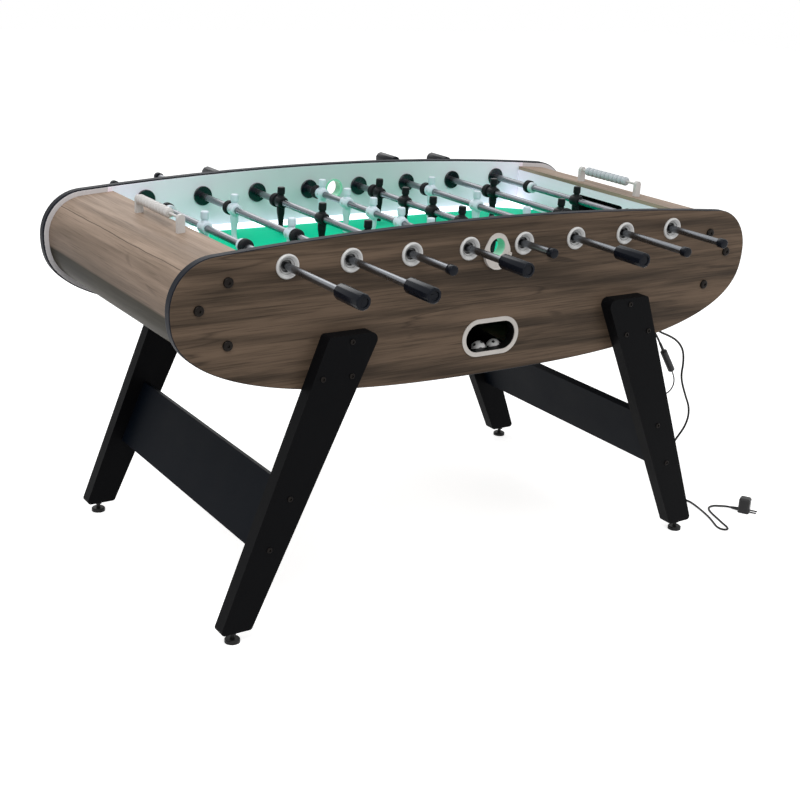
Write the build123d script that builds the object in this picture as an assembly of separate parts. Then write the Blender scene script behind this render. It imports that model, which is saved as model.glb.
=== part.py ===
from build123d import *
from math import atan2, copysign, cos, degrees, pi, radians, sin, sqrt, tan
import os

# A free-standing foosball table. X runs along the table, Y across it (the two teams stand at -Y and
# +Y), Z is up. The origin is on the floor, midway between the four feet. All sizes are millimetres.

# ---------------------------------------------------------------- driving dimensions
# Rods and playing field
ROD_COUNT = 8
ROD_PITCH = 150.0
ROD_DIAMETER = 16.0
ROD_WALL = 1.5
GOAL_ROD_TO_WALL = 82.0
FOOT_SWEEP_GAP = 3.0          # between the foot circles of neighbouring rods
FOOT_FIELD_GAP = 10.8         # under a hanging foot
FIELD_HEIGHT = 724.0
FIELD_WIDTH = 687.0           # between the side panels
FIELD_THICKNESS = 12.0
GOAL_WIDTH = 200.0
GOAL_HEIGHT = 80.0
GOAL_CORNER = 10.0
SIDE_RAMP_WIDTH = 25.0
SIDE_RAMP_RISE = 9.5
SIDE_RAMP_TOE = 1.0           # thickness of the ramp's low edge
CORNER_RAMP_LENGTH = 92.0
CORNER_RAMP_WIDTH = 76.0
CORNER_RAMP_RISE = 22.0
LED_STRIP_WIDTH = 8.0
LED_STRIP_THICKNESS = 2.0

# Cabinet
PANEL_THICKNESS = 24.0
RIM_ABOVE_FIELD = 146.5
NOSE_ABOVE_FIELD = 13.0       # the foremost point of a panel's rounded end
PANEL_BELOW_FIELD = 210.0
END_OVERHANG = 174.0          # from the end wall's inner face to the nose
SHOULDER_RADIUS = 105.0       # arcs that bring the rim down into the noses
BOTTOM_FULLNESS = 2.6         # power of the superelliptic lower edge
PANEL_OUTER_ROUND = 3.0       # along the outer face's edge
PANEL_INNER_ROUND = 5.0
COVER_INSET = 14.0
COVER_THICKNESS = 9.0
COVER_FOOT_X = 505.0          # where the end covers' lower edges stop
BOTTOM_BOARD_RISE = 38.0      # above the panels' lowest point
BOTTOM_BOARD_THICKNESS = 12.0
BOTTOM_BOARD_GAP = 6.0        # to the end covers' lower edges
END_WALL_THICKNESS = 18.0
BATTEN = 20.0                 # square section
CLEAT = 34.0                  # square side of the blocks behind the panel bolts
CLEAT_DEPTH = 30.0

# Ball return
CHUTE_WALL = 4.0
CHUTE_SIDE = 22.0
CHUTE_SLOPE = 0.10
CHUTE_DROP = 34.0             # field surface to the chute's high end
GOAL_BOX_DEPTH = 103.0        # behind the end wall
GOAL_BOX_TOP = 61.0           # above the field
TRAY_HALF_WIDTH = 75.0
TRAY_WALL = 3.0
TRAY_SIDE = 24.0
TRAY_SLOPE = 0.06
TRAY_LANDING = 55.0           # level stretch behind the window
WINDOW_BELOW_FIELD = 124.0    # centre of the return window
WINDOW_LENGTH = 136.0
WINDOW_HEIGHT = 67.0
BEZEL_WIDTH = 10.0
BEZEL_PROUD = 2.0
BEZEL_SLEEVE = 3.0
BALL_DIAMETER = 35.0
TRAY_BELOW_SILL = 24.3        # the tray's floor behind the window
BALL_PLACES = ((0.0, 0.3), (43.0, 10.0))    # x, and the gap to the near panel

# Serve cups
SERVE_ABOVE_FIELD = 81.0
SERVE_BORE = 42.0
SERVE_SLEEVE = 2.8
SERVE_PLATE_THICKNESS = 3.0
SERVE_TOP_RADIUS = 28.0       # the plate is pear-shaped, a small circle above a large one
SERVE_TOP_RISE = 4.0          # middle of the small circle above the bore's
SERVE_BASE_RADIUS = 36.0
SERVE_BASE_DROP = 13.0        # middle of the large circle below the bore's
SERVE_LIP_WALL = 3.0
SERVE_LIP_REACH = 9.0
SERVE_RING_DIAMETER = 50.0
SERVE_RING_THICKNESS = 2.0

# Rod bushings
BUSHING_SLEEVE_DIAMETER = 32.0
ROSETTE_DIAMETER = 52.0
ROSETTE_THICKNESS = 5.0
ROSETTE_BEVEL = 2.0
DISH_DIAMETER = 44.0          # the cone sunk in the rosette's face
DISH_DEPTH = 9.0
THROAT_DIAMETER = 26.0        # open space between the dish and the bearing
BEARING_LENGTH = 14.5         # from the panel's inner face
INNER_FLANGE_DIAMETER = 48.0
INNER_FLANGE_THICKNESS = 4.5

# Rod furniture
GRIP_DIAMETER = 34.0
GRIP_LENGTH = 86.0
GRIP_BEVEL = 4.0
GRIP_END_WALL = 6.0
CAP_DIAMETER = 22.0
CAP_LENGTH = 18.0
CAP_END_WALL = 3.0
BUMPER_DIAMETER = 34.0
BUMPER_LENGTH = 17.1
BUMPER_BEVEL = 3.0
COLLAR_DIAMETER = 28.0
COLLAR_LENGTH = 11.7
GOAL_STOP_FACE = 208.0        # outer face of a goal rod's stop
DEFENCE_MAN = 140.0           # a man's distance from the middle of its rod
ATTACK_MAN = 202.0
MIDFIELD_MEN = 5
MIDFIELD_PITCH = 122.5
GOAL_GRIP_GAP = 87.0          # bare rod left outside the bushing when a rod is pushed home
DEFENCE_GRIP_GAP = 77.0
ATTACK_GRIP_GAP = 58.0
MIDFIELD_GRIP_GAP = 88.0
GOAL_CAP_GAP = 12.0           # the same at the rod's plain end when it is pulled out
DEFENCE_CAP_GAP = 33.0
ATTACK_CAP_GAP = 43.0
MIDFIELD_CAP_GAP = 22.0

# Men, measured from the rod's axis
HUB_DIAMETER = 28.0
HUB_LENGTH = 30.6
HEAD_DIAMETER = 20.0
HEAD_TOP = 37.0
NECK_DIAMETER = 10.0
SHOULDER_HEIGHT = 14.0
SHOULDER_WIDTH = 30.0
CHEST_DEPTH = 18.0
WAIST_DROP = 12.0
WAIST_WIDTH = 21.0
LEG_DEPTH = 21.0
ANKLE_RISE = 14.0             # above the sole
ANKLE_WIDTH = 16.0
ANKLE_DEPTH = 12.0
FOOT_WIDTH = 22.0
FOOT_LENGTH = 14.0

# Score counters
COUNTER_OUT = 15.0            # from the end wall's outer face to the rail
COUNTER_HALF_SPAN = 110.0     # middle of the table to a post
POST_WIDTH = 17.0
POST_THICKNESS = 10.0
RAIL_DIAMETER = 6.0
BEAD_COUNT = 10
BEAD_DIAMETER = 23.0
BEAD_PITCH = 16.0
BEAD_ROUNDING = 3.5
RIGHT_BEADS_SHIFT = -16.0     # how far the right-hand beads stand from the post

# Legs
LEG_THICKNESS = 34.0
LEG_TOP_BELOW_FIELD = 66.0
LEG_TOP_INNER_X = 314.0
LEG_TOP_OUTER_X = 440.0
LEG_FOOT_INNER_X = 608.0
LEG_FOOT_OUTER_X = 682.5
LEG_TOP_RADIUS = 16.0
LEG_CORNER_RADIUS = 8.0
FOOT_HEIGHT = 27.0
FOOT_PAD_DIAMETER = 34.0
FOOT_PAD_THICKNESS = 9.0
FOOT_PAD_BEVEL = 2.0
FOOT_STEM_DIAMETER = 10.0
FOOT_STEM_GRIP = 30.0         # stem length inside the leg
FOOT_NUT_WIDTH = 17.0
FOOT_NUT_THICKNESS = 7.0
CROSSBAR_WIDTH = 160.0
CROSSBAR_THICKNESS = 18.0
CROSSBAR_HEIGHT = 260.0       # middle of the board above the floor

# Bolts
BOLT_SHANK = 8.0
BOLT_SOCKET = 7.0
BOLT_SOCKET_DEPTH = 2.0
PANEL_BOLT_HEAD = (22.0, 5.5, 4.0)     # diameter, height and rounding of the wide domed heads
LEG_BOLT_HEAD = (12.5, 2.6, 1.6)       # and of the small low ones
LEG_BOLT_BITE = 16.0          # how far a leg bolt enters the side panel
PANEL_BOLT_BITE = 20.0        # how far a panel bolt enters its block
CROSSBAR_BOLT_BITE = 40.0
# along X from the foot of the leg's top inner corner, and down from the leg's top
LEG_BOLTS = ((71.0, 15.0), (69.0, 90.0), (139.0, 88.0))
# out from the end wall's inner face, and above the field
PANEL_BOLTS = ((49.0, 63.5), (112.0, 12.5), (49.0, -66.0))
CROSSBAR_BOLT_SPREAD = 59.0   # either side of the crossbar's middle, along the leg

# Power cord and what is on it. "In" is the distance in from the near panel's inner face.
CORD_DIAMETER = 5.5
LEAD_DIAMETER = 3.5
CORD_FLOOR_GAP = 0.2
CONNECTOR_DIAMETER = 18.0
CONNECTOR_TOP = (643.0, 87.5, 474.0)    # x, in, height
CONNECTOR_LENGTH = 99.6
CONNECTOR_LEAN = 33.5         # degrees from upright
CONNECTOR_TAPER = 24.0
CONNECTOR_BEVEL = 5.0
GLAND_X = 470.0
GLAND_IN = 53.5
GLAND_FLANGE_DIAMETER = 20.0
GLAND_FLANGE_THICKNESS = 4.0
GLAND_TAPER = 24.0
CLIP_HOLE = 8.0
CLIP_DIAMETER = 13.0
CLIP_THICKNESS = 8.0
CLIP_X = 540.0
CLIP_IN = 52.5
CLIP_DROP = 12.4              # from the end cover's underside to the middle of the clip's hole
CLIP_HEIGHT_DRAWN = 553.0     # the clip's height that the hanging points' heights go with
PLUG_X = 899.0
PLUG_IN = -47.5
PLUG_TURN = -58.0             # direction of the plug's pins about Z, degrees
PLUG_LENGTH = 30.0
PLUG_WIDTH = 28.0
PLUG_HEIGHT = 42.0
PLUG_BEVEL = 4.0
PLUG_ENTRY_HEIGHT = 5.5
PLUG_RELIEF = 20.0
PLUG_RUN_IN = 14.1            # straight cord before the plug
PIN_DIAMETER = 4.0
PIN_LENGTH = 19.0
PIN_PITCH = 14.0

# Clearances
FIT = 0.3                     # between pieces that are screwed together
SLIP = 0.06                   # all round a shaft that turns or slides
SNUG = 0.05                   # all round a shaft that is held
HOLE_CLEARANCE = 0.2          # all round a bolt
STOP_CLEARANCE = 0.4          # left when a bumper reaches its stop

# ---------------------------------------------------------------- derived places
PANEL_INNER_Y = FIELD_WIDTH / 2
PANEL_OUTER_Y = PANEL_INNER_Y + PANEL_THICKNESS
LEG_OUTER_Y = PANEL_OUTER_Y + LEG_THICKNESS
BOARD_Y = PANEL_INNER_Y - FIT
WALL_X = (ROD_COUNT - 1) / 2 * ROD_PITCH + GOAL_ROD_TO_WALL
WALL_OUTER_X = WALL_X + END_WALL_THICKNESS
NOSE_X = WALL_X + END_OVERHANG
NOSE_Z = FIELD_HEIGHT + NOSE_ABOVE_FIELD
RIM_Z = FIELD_HEIGHT + RIM_ABOVE_FIELD
PANEL_LOW_Z = FIELD_HEIGHT - PANEL_BELOW_FIELD
FIELD_UNDER_Z = FIELD_HEIGHT - FIELD_THICKNESS
FOOT_RADIUS = (ROD_PITCH - FOOT_SWEEP_GAP) / 2
ROD_Z = FIELD_HEIGHT + FOOT_FIELD_GAP + FOOT_RADIUS
ROD_RADIUS = ROD_DIAMETER / 2
INNER_STOP_Y = PANEL_INNER_Y - INNER_FLANGE_THICKNESS
BUSHING_END_Y = PANEL_OUTER_Y + ROSETTE_THICKNESS
BOTTOM_BOARD_Z = PANEL_LOW_Z + BOTTOM_BOARD_RISE
BOTTOM_BOARD_TOP = BOTTOM_BOARD_Z + BOTTOM_BOARD_THICKNESS
WINDOW_Z = FIELD_HEIGHT - WINDOW_BELOW_FIELD
WINDOW_SILL_Z = WINDOW_Z - WINDOW_HEIGHT / 2
BALL_RADIUS = BALL_DIAMETER / 2
TRAY_FLOOR_Z = WINDOW_SILL_Z - TRAY_BELOW_SILL
SERVE_Z = FIELD_HEIGHT + SERVE_ABOVE_FIELD
SERVE_SLEEVE_RADIUS = SERVE_BORE / 2 + SERVE_SLEEVE
LEG_TOP_Z = FIELD_HEIGHT - LEG_TOP_BELOW_FIELD
COUNTER_X = WALL_OUTER_X + COUNTER_OUT
RAIL_Z = RIM_Z - POST_WIDTH / 2
GOAL_BOX_X = WALL_OUTER_X + GOAL_BOX_DEPTH
CHUTE_HALF_WIDTH = GOAL_WIDTH / 2 + 2 * CHUTE_WALL
BOLT_HOLE = BOLT_SHANK / 2 + HOLE_CLEARANCE

# Each rod type: the men's places, the stop's outer face, and the bare rod left at grip and cap.
HUB_TO_STOP = HUB_LENGTH / 2 + FIT + BUMPER_LENGTH
MIDFIELD_END = (MIDFIELD_MEN - 1) / 2
ROD_TYPES = {
    "goal": ((0,), GOAL_STOP_FACE, GOAL_GRIP_GAP, GOAL_CAP_GAP),
    "defence": ((-DEFENCE_MAN, DEFENCE_MAN), DEFENCE_MAN + HUB_TO_STOP, DEFENCE_GRIP_GAP, DEFENCE_CAP_GAP),
    "attack": ((-ATTACK_MAN, 0, ATTACK_MAN), ATTACK_MAN + HUB_TO_STOP, ATTACK_GRIP_GAP, ATTACK_CAP_GAP),
    "midfield": (
        tuple(MIDFIELD_PITCH * (place - MIDFIELD_END) for place in range(MIDFIELD_MEN)),
        MIDFIELD_PITCH * MIDFIELD_END + HUB_TO_STOP,
        MIDFIELD_GRIP_GAP,
        MIDFIELD_CAP_GAP,
    ),
}
# From the left: team, rod type and how far the rod stands towards +Y at rest, as a share of its travel.
RODS = (
    ("white", "goal", 0.115),
    ("white", "defence", 0.175),
    ("black", "attack", 0.135),
    ("white", "midfield", 0.493),
    ("black", "midfield", -0.066),
    ("white", "attack", 0.193),
    ("black", "defence", 0.066),
    ("black", "goal", -0.077),
)


# ---------------------------------------------------------------- shared shapes
def across(profile, y_low, y_high):
    """A profile drawn in X and Z, running across the table from y_low to y_high."""
    return Plane.XZ.offset(-y_high) * extrude(profile, y_high - y_low)


def along(profile, x_low, x_high):
    """A profile drawn in Y and Z, running along the table from x_low to x_high."""
    return Plane.YZ.offset(x_low) * extrude(profile, x_high - x_low)


def block(x_low, x_high, y_low, y_high, z_low, z_high):
    """A plain box between six planes."""
    centre = Pos((x_low + x_high) / 2, (y_low + y_high) / 2, (z_low + z_high) / 2)
    return centre * Box(x_high - x_low, y_high - y_low, z_high - z_low)


def bar(diameter, y_low, y_high):
    """A round bar along Y, centred on the Y axis."""
    return Pos(0, (y_low + y_high) / 2, 0) * Rot(90, 0, 0) * Cylinder(diameter / 2, y_high - y_low)


def turned(*points):
    """A solid of revolution about Y from (radius, y) points."""
    return revolve(make_face(Polyline(*points, close=True)), Axis.Y)


def polygon(*points):
    return make_face(Polyline(*points, close=True))


def mirrored_x(piece):
    return mirror(piece, about=Plane.YZ)


def mirrored_y(piece):
    return mirror(piece, about=Plane.XZ)


def both_sides(piece):
    return [piece, mirrored_y(piece)]


def both_ends(piece):
    return [piece, mirrored_x(piece)]


def four_corners(piece):
    return [copy for end in both_ends(piece) for copy in both_sides(end)]


def save(name, pieces):
    """Write one node: every solid of the given pieces."""
    solids = [solid for piece in pieces for solid in piece.solids()]
    export_step(Compound(children=solids), f"parts/{name}.step")


# ---------------------------------------------------------------- side outline
def upper_edge(inset):
    """The outline above the noses: a shallow arch that runs into a shoulder arc at each end."""
    radius = SHOULDER_RADIUS - inset
    rise = RIM_Z - NOSE_Z - inset
    shoulder_x = NOSE_X - SHOULDER_RADIUS
    arch_radius = (shoulder_x**2 + rise**2 - radius**2) / (2 * (rise - radius))
    spread = degrees(atan2(shoulder_x, arch_radius - rise))
    right = CenterArc((shoulder_x, 0), radius, 0, 90 - spread)
    arch = CenterArc((0, rise - arch_radius), arch_radius, 90 - spread, 2 * spread)
    left = CenterArc((-shoulder_x, 0), radius, 90 + spread, 90 - spread)
    return [right, arch, left]


def lower_edge(inset):
    """The outline below the noses, half a superellipse from the left nose to the right one."""
    steps = 16
    half_length = NOSE_X - inset
    drop = NOSE_Z - PANEL_LOW_Z - inset
    points = []
    for step in range(steps + 1):
        angle = pi * step / steps
        x = -half_length * copysign(abs(cos(angle)) ** (2 / BOTTOM_FULLNESS), cos(angle))
        z = -drop * abs(sin(angle)) ** (2 / BOTTOM_FULLNESS)
        points.append((x, z))
    return Spline(*points, tangents=[(0, -1), (0, 1)], tangent_scalars=[1, 1])


def side_outline(inset):
    """The face inside the panel's outline, moved inwards by inset."""
    return Pos(0, NOSE_Z) * make_face([*upper_edge(inset), lower_edge(inset)])


def underside_height(x, inset):
    """Height of the outline's lower edge at x."""
    share = 1 - (abs(x) / (NOSE_X - inset)) ** BOTTOM_FULLNESS
    return NOSE_Z - (NOSE_Z - PANEL_LOW_Z - inset) * share ** (1 / BOTTOM_FULLNESS)


# ---------------------------------------------------------------- bolts
def panel_bolt_places():
    return [(WALL_X + out, FIELD_HEIGHT + up) for out, up in PANEL_BOLTS]


def leg_bolt_places():
    return [(LEG_TOP_INNER_X + out, LEG_TOP_Z - down) for out, down in LEG_BOLTS]


def leg_middle(z):
    """X of the leg's centre line at height z."""
    share = (LEG_TOP_Z - z) / (LEG_TOP_Z - FOOT_HEIGHT)
    top = (LEG_TOP_INNER_X + LEG_TOP_OUTER_X) / 2
    foot = (LEG_FOOT_INNER_X + LEG_FOOT_OUTER_X) / 2
    return top + share * (foot - top)


def leg_lean():
    """Sine and cosine of the leg's lean from upright."""
    run = leg_middle(FOOT_HEIGHT) - leg_middle(LEG_TOP_Z)
    rise = LEG_TOP_Z - FOOT_HEIGHT
    length = sqrt(run * run + rise * rise)
    return run / length, rise / length


def crossbar_bolt_places():
    lean_sine, lean_cosine = leg_lean()
    middle = leg_middle(CROSSBAR_HEIGHT)
    spread_x = CROSSBAR_BOLT_SPREAD * lean_sine
    spread_z = CROSSBAR_BOLT_SPREAD * lean_cosine
    return [(middle - spread_x, CROSSBAR_HEIGHT + spread_z), (middle + spread_x, CROSSBAR_HEIGHT - spread_z)]


def bolt(x, z, seat_y, length, head_sizes):
    """A domed socket-head bolt whose head sits on y = -seat_y and whose shank runs inwards."""
    diameter, height, rounding = head_sizes
    head = bar(diameter, -height, 0)
    head = fillet(head.edges().group_by(Axis.Y)[0], rounding)
    socket = Plane.XZ.offset(height) * extrude(RegularPolygon(BOLT_SOCKET / 2, 6), -BOLT_SOCKET_DEPTH)
    shank = bar(BOLT_SHANK, 0, length)
    return Pos(x, -seat_y, z) * (head + shank - socket)


def bolt_hole(x, z, y_low, y_high):
    return Pos(x, 0, z) * bar(2 * BOLT_HOLE, y_low, y_high)


def bolts():
    pieces = []
    for x, z in panel_bolt_places():
        length = PANEL_THICKNESS + PANEL_BOLT_BITE
        pieces += four_corners(bolt(x, z, PANEL_OUTER_Y, length, PANEL_BOLT_HEAD))
    for x, z in leg_bolt_places():
        length = LEG_THICKNESS + LEG_BOLT_BITE
        pieces += four_corners(bolt(x, z, LEG_OUTER_Y, length, LEG_BOLT_HEAD))
    for x, z in crossbar_bolt_places():
        length = LEG_THICKNESS + CROSSBAR_BOLT_BITE
        pieces += four_corners(bolt(x, z, LEG_OUTER_Y, length, LEG_BOLT_HEAD))
    return pieces


# ---------------------------------------------------------------- cabinet
def rod_places():
    return [(number - (ROD_COUNT - 1) / 2) * ROD_PITCH for number in range(ROD_COUNT)]


def side_panel(with_window):
    """The panel at -Y, with its rod holes, serve hole, bolt holes and return window."""
    panel = across(side_outline(0), -PANEL_OUTER_Y, -PANEL_INNER_Y)
    panel = fillet(panel.edges().group_by(Axis.Y)[0], PANEL_OUTER_ROUND)
    panel = fillet(panel.edges().group_by(Axis.Y)[-1], PANEL_INNER_ROUND)
    cuts = [Pos(0, 0, SERVE_Z) * bar(2 * (SERVE_SLEEVE_RADIUS + HOLE_CLEARANCE), -LEG_OUTER_Y, 0)]
    for x in rod_places():
        hole_diameter = BUSHING_SLEEVE_DIAMETER + 2 * HOLE_CLEARANCE
        cuts.append(Pos(x, 0, ROD_Z) * bar(hole_diameter, -LEG_OUTER_Y, 0))
    for x, z in panel_bolt_places():
        cuts += both_ends(bolt_hole(x, z, -LEG_OUTER_Y, 0))
    for x, z in leg_bolt_places():
        cuts += both_ends(bolt_hole(x, z, -LEG_OUTER_Y, -PANEL_OUTER_Y + LEG_BOLT_BITE + HOLE_CLEARANCE))
    if with_window:
        grow = 2 * (BEZEL_SLEEVE + HOLE_CLEARANCE)
        window = SlotOverall(WINDOW_LENGTH + grow, WINDOW_HEIGHT + grow)
        cuts.append(across(Pos(0, WINDOW_Z) * window, -LEG_OUTER_Y, 0))
    return panel - cuts


def end_covers():
    """The curved skins that close the cabinet's ends, one board bent round each nose."""
    skin = side_outline(COVER_INSET) - side_outline(COVER_INSET + COVER_THICKNESS)
    end = polygon(
        (WALL_X, RIM_Z),
        (NOSE_X, RIM_Z),
        (NOSE_X, PANEL_LOW_Z),
        (COVER_FOOT_X, PANEL_LOW_Z),
        (COVER_FOOT_X, NOSE_Z),
        (WALL_X, NOSE_Z),
    )
    return both_ends(across(skin & end, -BOARD_Y, BOARD_Y))


def end_walls():
    """The boards behind the goal rods; their tops follow the underside of the end covers."""
    height = RIM_Z - FIELD_HEIGHT
    strip = Pos((WALL_X + WALL_OUTER_X) / 2, FIELD_HEIGHT + FIT + height / 2)
    profile = strip * Rectangle(END_WALL_THICKNESS, height)
    wall = across(profile & side_outline(COVER_INSET + COVER_THICKNESS + FIT), -BOARD_Y, BOARD_Y)
    mouth = Pos(0, FIELD_HEIGHT) * RectangleRounded(GOAL_WIDTH, 2 * GOAL_HEIGHT, GOAL_CORNER)
    return both_ends(wall - along(mouth, WALL_X - FIT, WALL_OUTER_X + FIT))


def playfield():
    """The field board, with a tongue through each goal mouth."""
    board = block(-WALL_OUTER_X, WALL_OUTER_X, -BOARD_Y, BOARD_Y, FIELD_UNDER_Z, FIELD_HEIGHT)
    tongue_x = WALL_OUTER_X + END_WALL_THICKNESS
    tongue_y = GOAL_WIDTH / 2 + CHUTE_WALL
    return [board + block(-tongue_x, tongue_x, -tongue_y, tongue_y, FIELD_UNDER_Z, FIELD_HEIGHT)]


def side_ramps():
    """Low white ramps along the side panels, each with a groove for its light strip."""
    toe_y = BOARD_Y - SIDE_RAMP_WIDTH
    heel_z = FIELD_HEIGHT + SIDE_RAMP_RISE
    toe_z = FIELD_HEIGHT + SIDE_RAMP_TOE
    section = polygon((toe_y, FIELD_HEIGHT), (BOARD_Y, FIELD_HEIGHT), (BOARD_Y, heel_z), (toe_y, toe_z))
    groove = Rectangle(LED_STRIP_WIDTH + 2 * FIT, 2 * (LED_STRIP_THICKNESS + FIT))
    section -= Pos(led_strip_y(), FIELD_HEIGHT) * groove
    side_x = WALL_X - CORNER_RAMP_LENGTH - FIT
    return both_sides(along(section, -side_x, side_x))


def corner_ramps():
    """Three-cornered ramps that turn the ball out of the field's corners."""
    corner_x = WALL_X - FIT
    low_x = WALL_X - CORNER_RAMP_LENGTH
    low_y = BOARD_Y - CORNER_RAMP_WIDTH
    plan = polygon((low_x, BOARD_Y), (corner_x, low_y), (corner_x, BOARD_Y))
    prism = Pos(0, 0, FIELD_HEIGHT) * extrude(plan, CORNER_RAMP_RISE + SIDE_RAMP_TOE)
    toe = Vector(low_x, BOARD_Y, FIELD_HEIGHT + SIDE_RAMP_TOE)
    edge = Vector(corner_x, low_y, FIELD_HEIGHT + SIDE_RAMP_TOE) - toe
    slope = Vector(corner_x - low_x, 0, CORNER_RAMP_RISE)
    ramp = split(prism, bisect_by=Plane(origin=toe, z_dir=edge.cross(slope)), keep=Keep.BOTTOM)
    return four_corners(ramp)


def led_strip_y():
    return BOARD_Y - SIDE_RAMP_WIDTH / 3


def led_strips():
    """Light strips in the grooves under the side ramps."""
    side_x = WALL_X - CORNER_RAMP_LENGTH - 2 * FIT
    low_y = led_strip_y() - LED_STRIP_WIDTH / 2
    top_z = FIELD_HEIGHT + LED_STRIP_THICKNESS
    return both_sides(block(-side_x, side_x, low_y, low_y + LED_STRIP_WIDTH, FIELD_HEIGHT, top_z))


def tray_half_outside():
    return TRAY_HALF_WIDTH + TRAY_WALL


def tray_back_y():
    return CHUTE_HALF_WIDTH + CHUTE_WALL


def cabinet_bottom():
    """The bottom board, notched for the return tray."""
    end_x = COVER_FOOT_X - BOTTOM_BOARD_GAP
    board = block(-end_x, end_x, -BOARD_Y, BOARD_Y, BOTTOM_BOARD_Z, BOTTOM_BOARD_TOP)
    notch_x = tray_half_outside() + FIT
    return [board - block(-notch_x, notch_x, -PANEL_OUTER_Y, tray_back_y() + FIT, 0, RIM_Z)]


def cabinet_cleats():
    """Battens under the field and on the bottom board, and the blocks behind the panel bolts."""
    inner_y = BOARD_Y - BATTEN
    under = block(-WALL_X, WALL_X, inner_y, BOARD_Y, FIELD_UNDER_Z - BATTEN, FIELD_UNDER_Z)
    pieces = both_sides(under)
    low_x = tray_half_outside() + BATTEN
    high_x = COVER_FOOT_X - BATTEN
    floor = block(low_x, high_x, inner_y, BOARD_Y, BOTTOM_BOARD_TOP, BOTTOM_BOARD_TOP + BATTEN)
    pieces += four_corners(floor)
    half = CLEAT / 2
    for x, z in panel_bolt_places():
        cleat = block(x - half, x + half, -BOARD_Y, CLEAT_DEPTH - BOARD_Y, z - half, z + half)
        pieces += four_corners(cleat - bolt_hole(x, z, -PANEL_OUTER_Y, 0))
    return pieces


# ---------------------------------------------------------------- ball return
def chute_height(x):
    """Top of the chute's floor at x."""
    return FIELD_HEIGHT - CHUTE_DROP - CHUTE_SLOPE * (GOAL_BOX_X - x)


def goal_chute():
    """A wide sloping trough from behind the right goal to the middle of the cabinet."""
    low_x = tray_half_outside() + FIT
    low_z = chute_height(low_x)
    high_z = chute_height(GOAL_BOX_X)
    top = polygon(
        (low_x, low_z),
        (GOAL_BOX_X, high_z),
        (GOAL_BOX_X, high_z + CHUTE_SIDE),
        (low_x, low_z + CHUTE_SIDE),
    )
    whole = polygon(
        (low_x, low_z - CHUTE_WALL),
        (GOAL_BOX_X, high_z - CHUTE_WALL),
        (GOAL_BOX_X, high_z + CHUTE_SIDE),
        (low_x, low_z + CHUTE_SIDE),
    )
    inner_y = CHUTE_HALF_WIDTH - CHUTE_WALL
    return across(whole, -CHUTE_HALF_WIDTH, CHUTE_HALF_WIDTH) - across(top, -inner_y, inner_y)


def goal_box():
    """Two side plates and a back plate that catch the ball behind the right goal."""
    low_z = chute_height(GOAL_BOX_X) + CHUTE_SIDE
    top_z = FIELD_HEIGHT + GOAL_BOX_TOP
    outer_y = CHUTE_HALF_WIDTH
    inner_y = outer_y - CHUTE_WALL + FIT
    side = block(WALL_OUTER_X + FIT, GOAL_BOX_X, inner_y, outer_y, FIELD_HEIGHT, top_z)
    back = block(GOAL_BOX_X, GOAL_BOX_X + CHUTE_WALL, -outer_y, outer_y, low_z - CHUTE_SIDE, top_z)
    return back + both_sides(side)


def return_tray():
    """The trough that carries the ball across to the window and holds it there."""
    level_y = -BOARD_Y + TRAY_LANDING
    back_y = tray_back_y()
    back_z = TRAY_FLOOR_Z + TRAY_SLOPE * (back_y - level_y)
    floor_line = [(-BOARD_Y, TRAY_FLOOR_Z), (level_y, TRAY_FLOOR_Z), (back_y, back_z)]
    base = [(y, z - TRAY_WALL) for y, z in reversed(floor_line)]
    rim = [(y, z + TRAY_SIDE) for y, z in reversed(floor_line)]
    floor = along(polygon(*floor_line, *base), -tray_half_outside(), tray_half_outside())
    side = along(polygon(*floor_line, *rim), TRAY_HALF_WIDTH, tray_half_outside())
    back = block(
        -TRAY_HALF_WIDTH, TRAY_HALF_WIDTH, back_y - TRAY_WALL, back_y, back_z - TRAY_WALL, back_z + TRAY_SIDE
    )
    return floor + both_ends(side) + back


def ball_return():
    return both_ends(goal_chute()) + both_ends(goal_box()) + [return_tray()]


def balls():
    """Two balls behind the window's sill."""
    z = TRAY_FLOOR_Z + FIT + BALL_RADIUS
    return [Pos(x, gap + BALL_RADIUS - PANEL_INNER_Y, z) * Sphere(BALL_RADIUS) for x, gap in BALL_PLACES]


# ---------------------------------------------------------------- trims in the side panels
def return_bezel():
    """The frame of the return window: a flange outside and a sleeve through the panel."""
    opening = SlotOverall(WINDOW_LENGTH, WINDOW_HEIGHT)
    flange = SlotOverall(WINDOW_LENGTH + 2 * BEZEL_WIDTH, WINDOW_HEIGHT + 2 * BEZEL_WIDTH) - opening
    sleeve = SlotOverall(WINDOW_LENGTH + 2 * BEZEL_SLEEVE, WINDOW_HEIGHT + 2 * BEZEL_SLEEVE) - opening
    front = across(Pos(0, WINDOW_Z) * flange, -PANEL_OUTER_Y - BEZEL_PROUD, -PANEL_OUTER_Y)
    return front + across(Pos(0, WINDOW_Z) * sleeve, -PANEL_OUTER_Y, -PANEL_INNER_Y)


def serve_plate_face(inset):
    """The plate's pear shape, moved inwards by inset."""
    top = Pos(0, SERVE_Z + SERVE_TOP_RISE) * Circle(SERVE_TOP_RADIUS - inset)
    base = Pos(0, SERVE_Z - SERVE_BASE_DROP) * Circle(SERVE_BASE_RADIUS - inset)
    return make_hull(top.edges() + base.edges())


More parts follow.
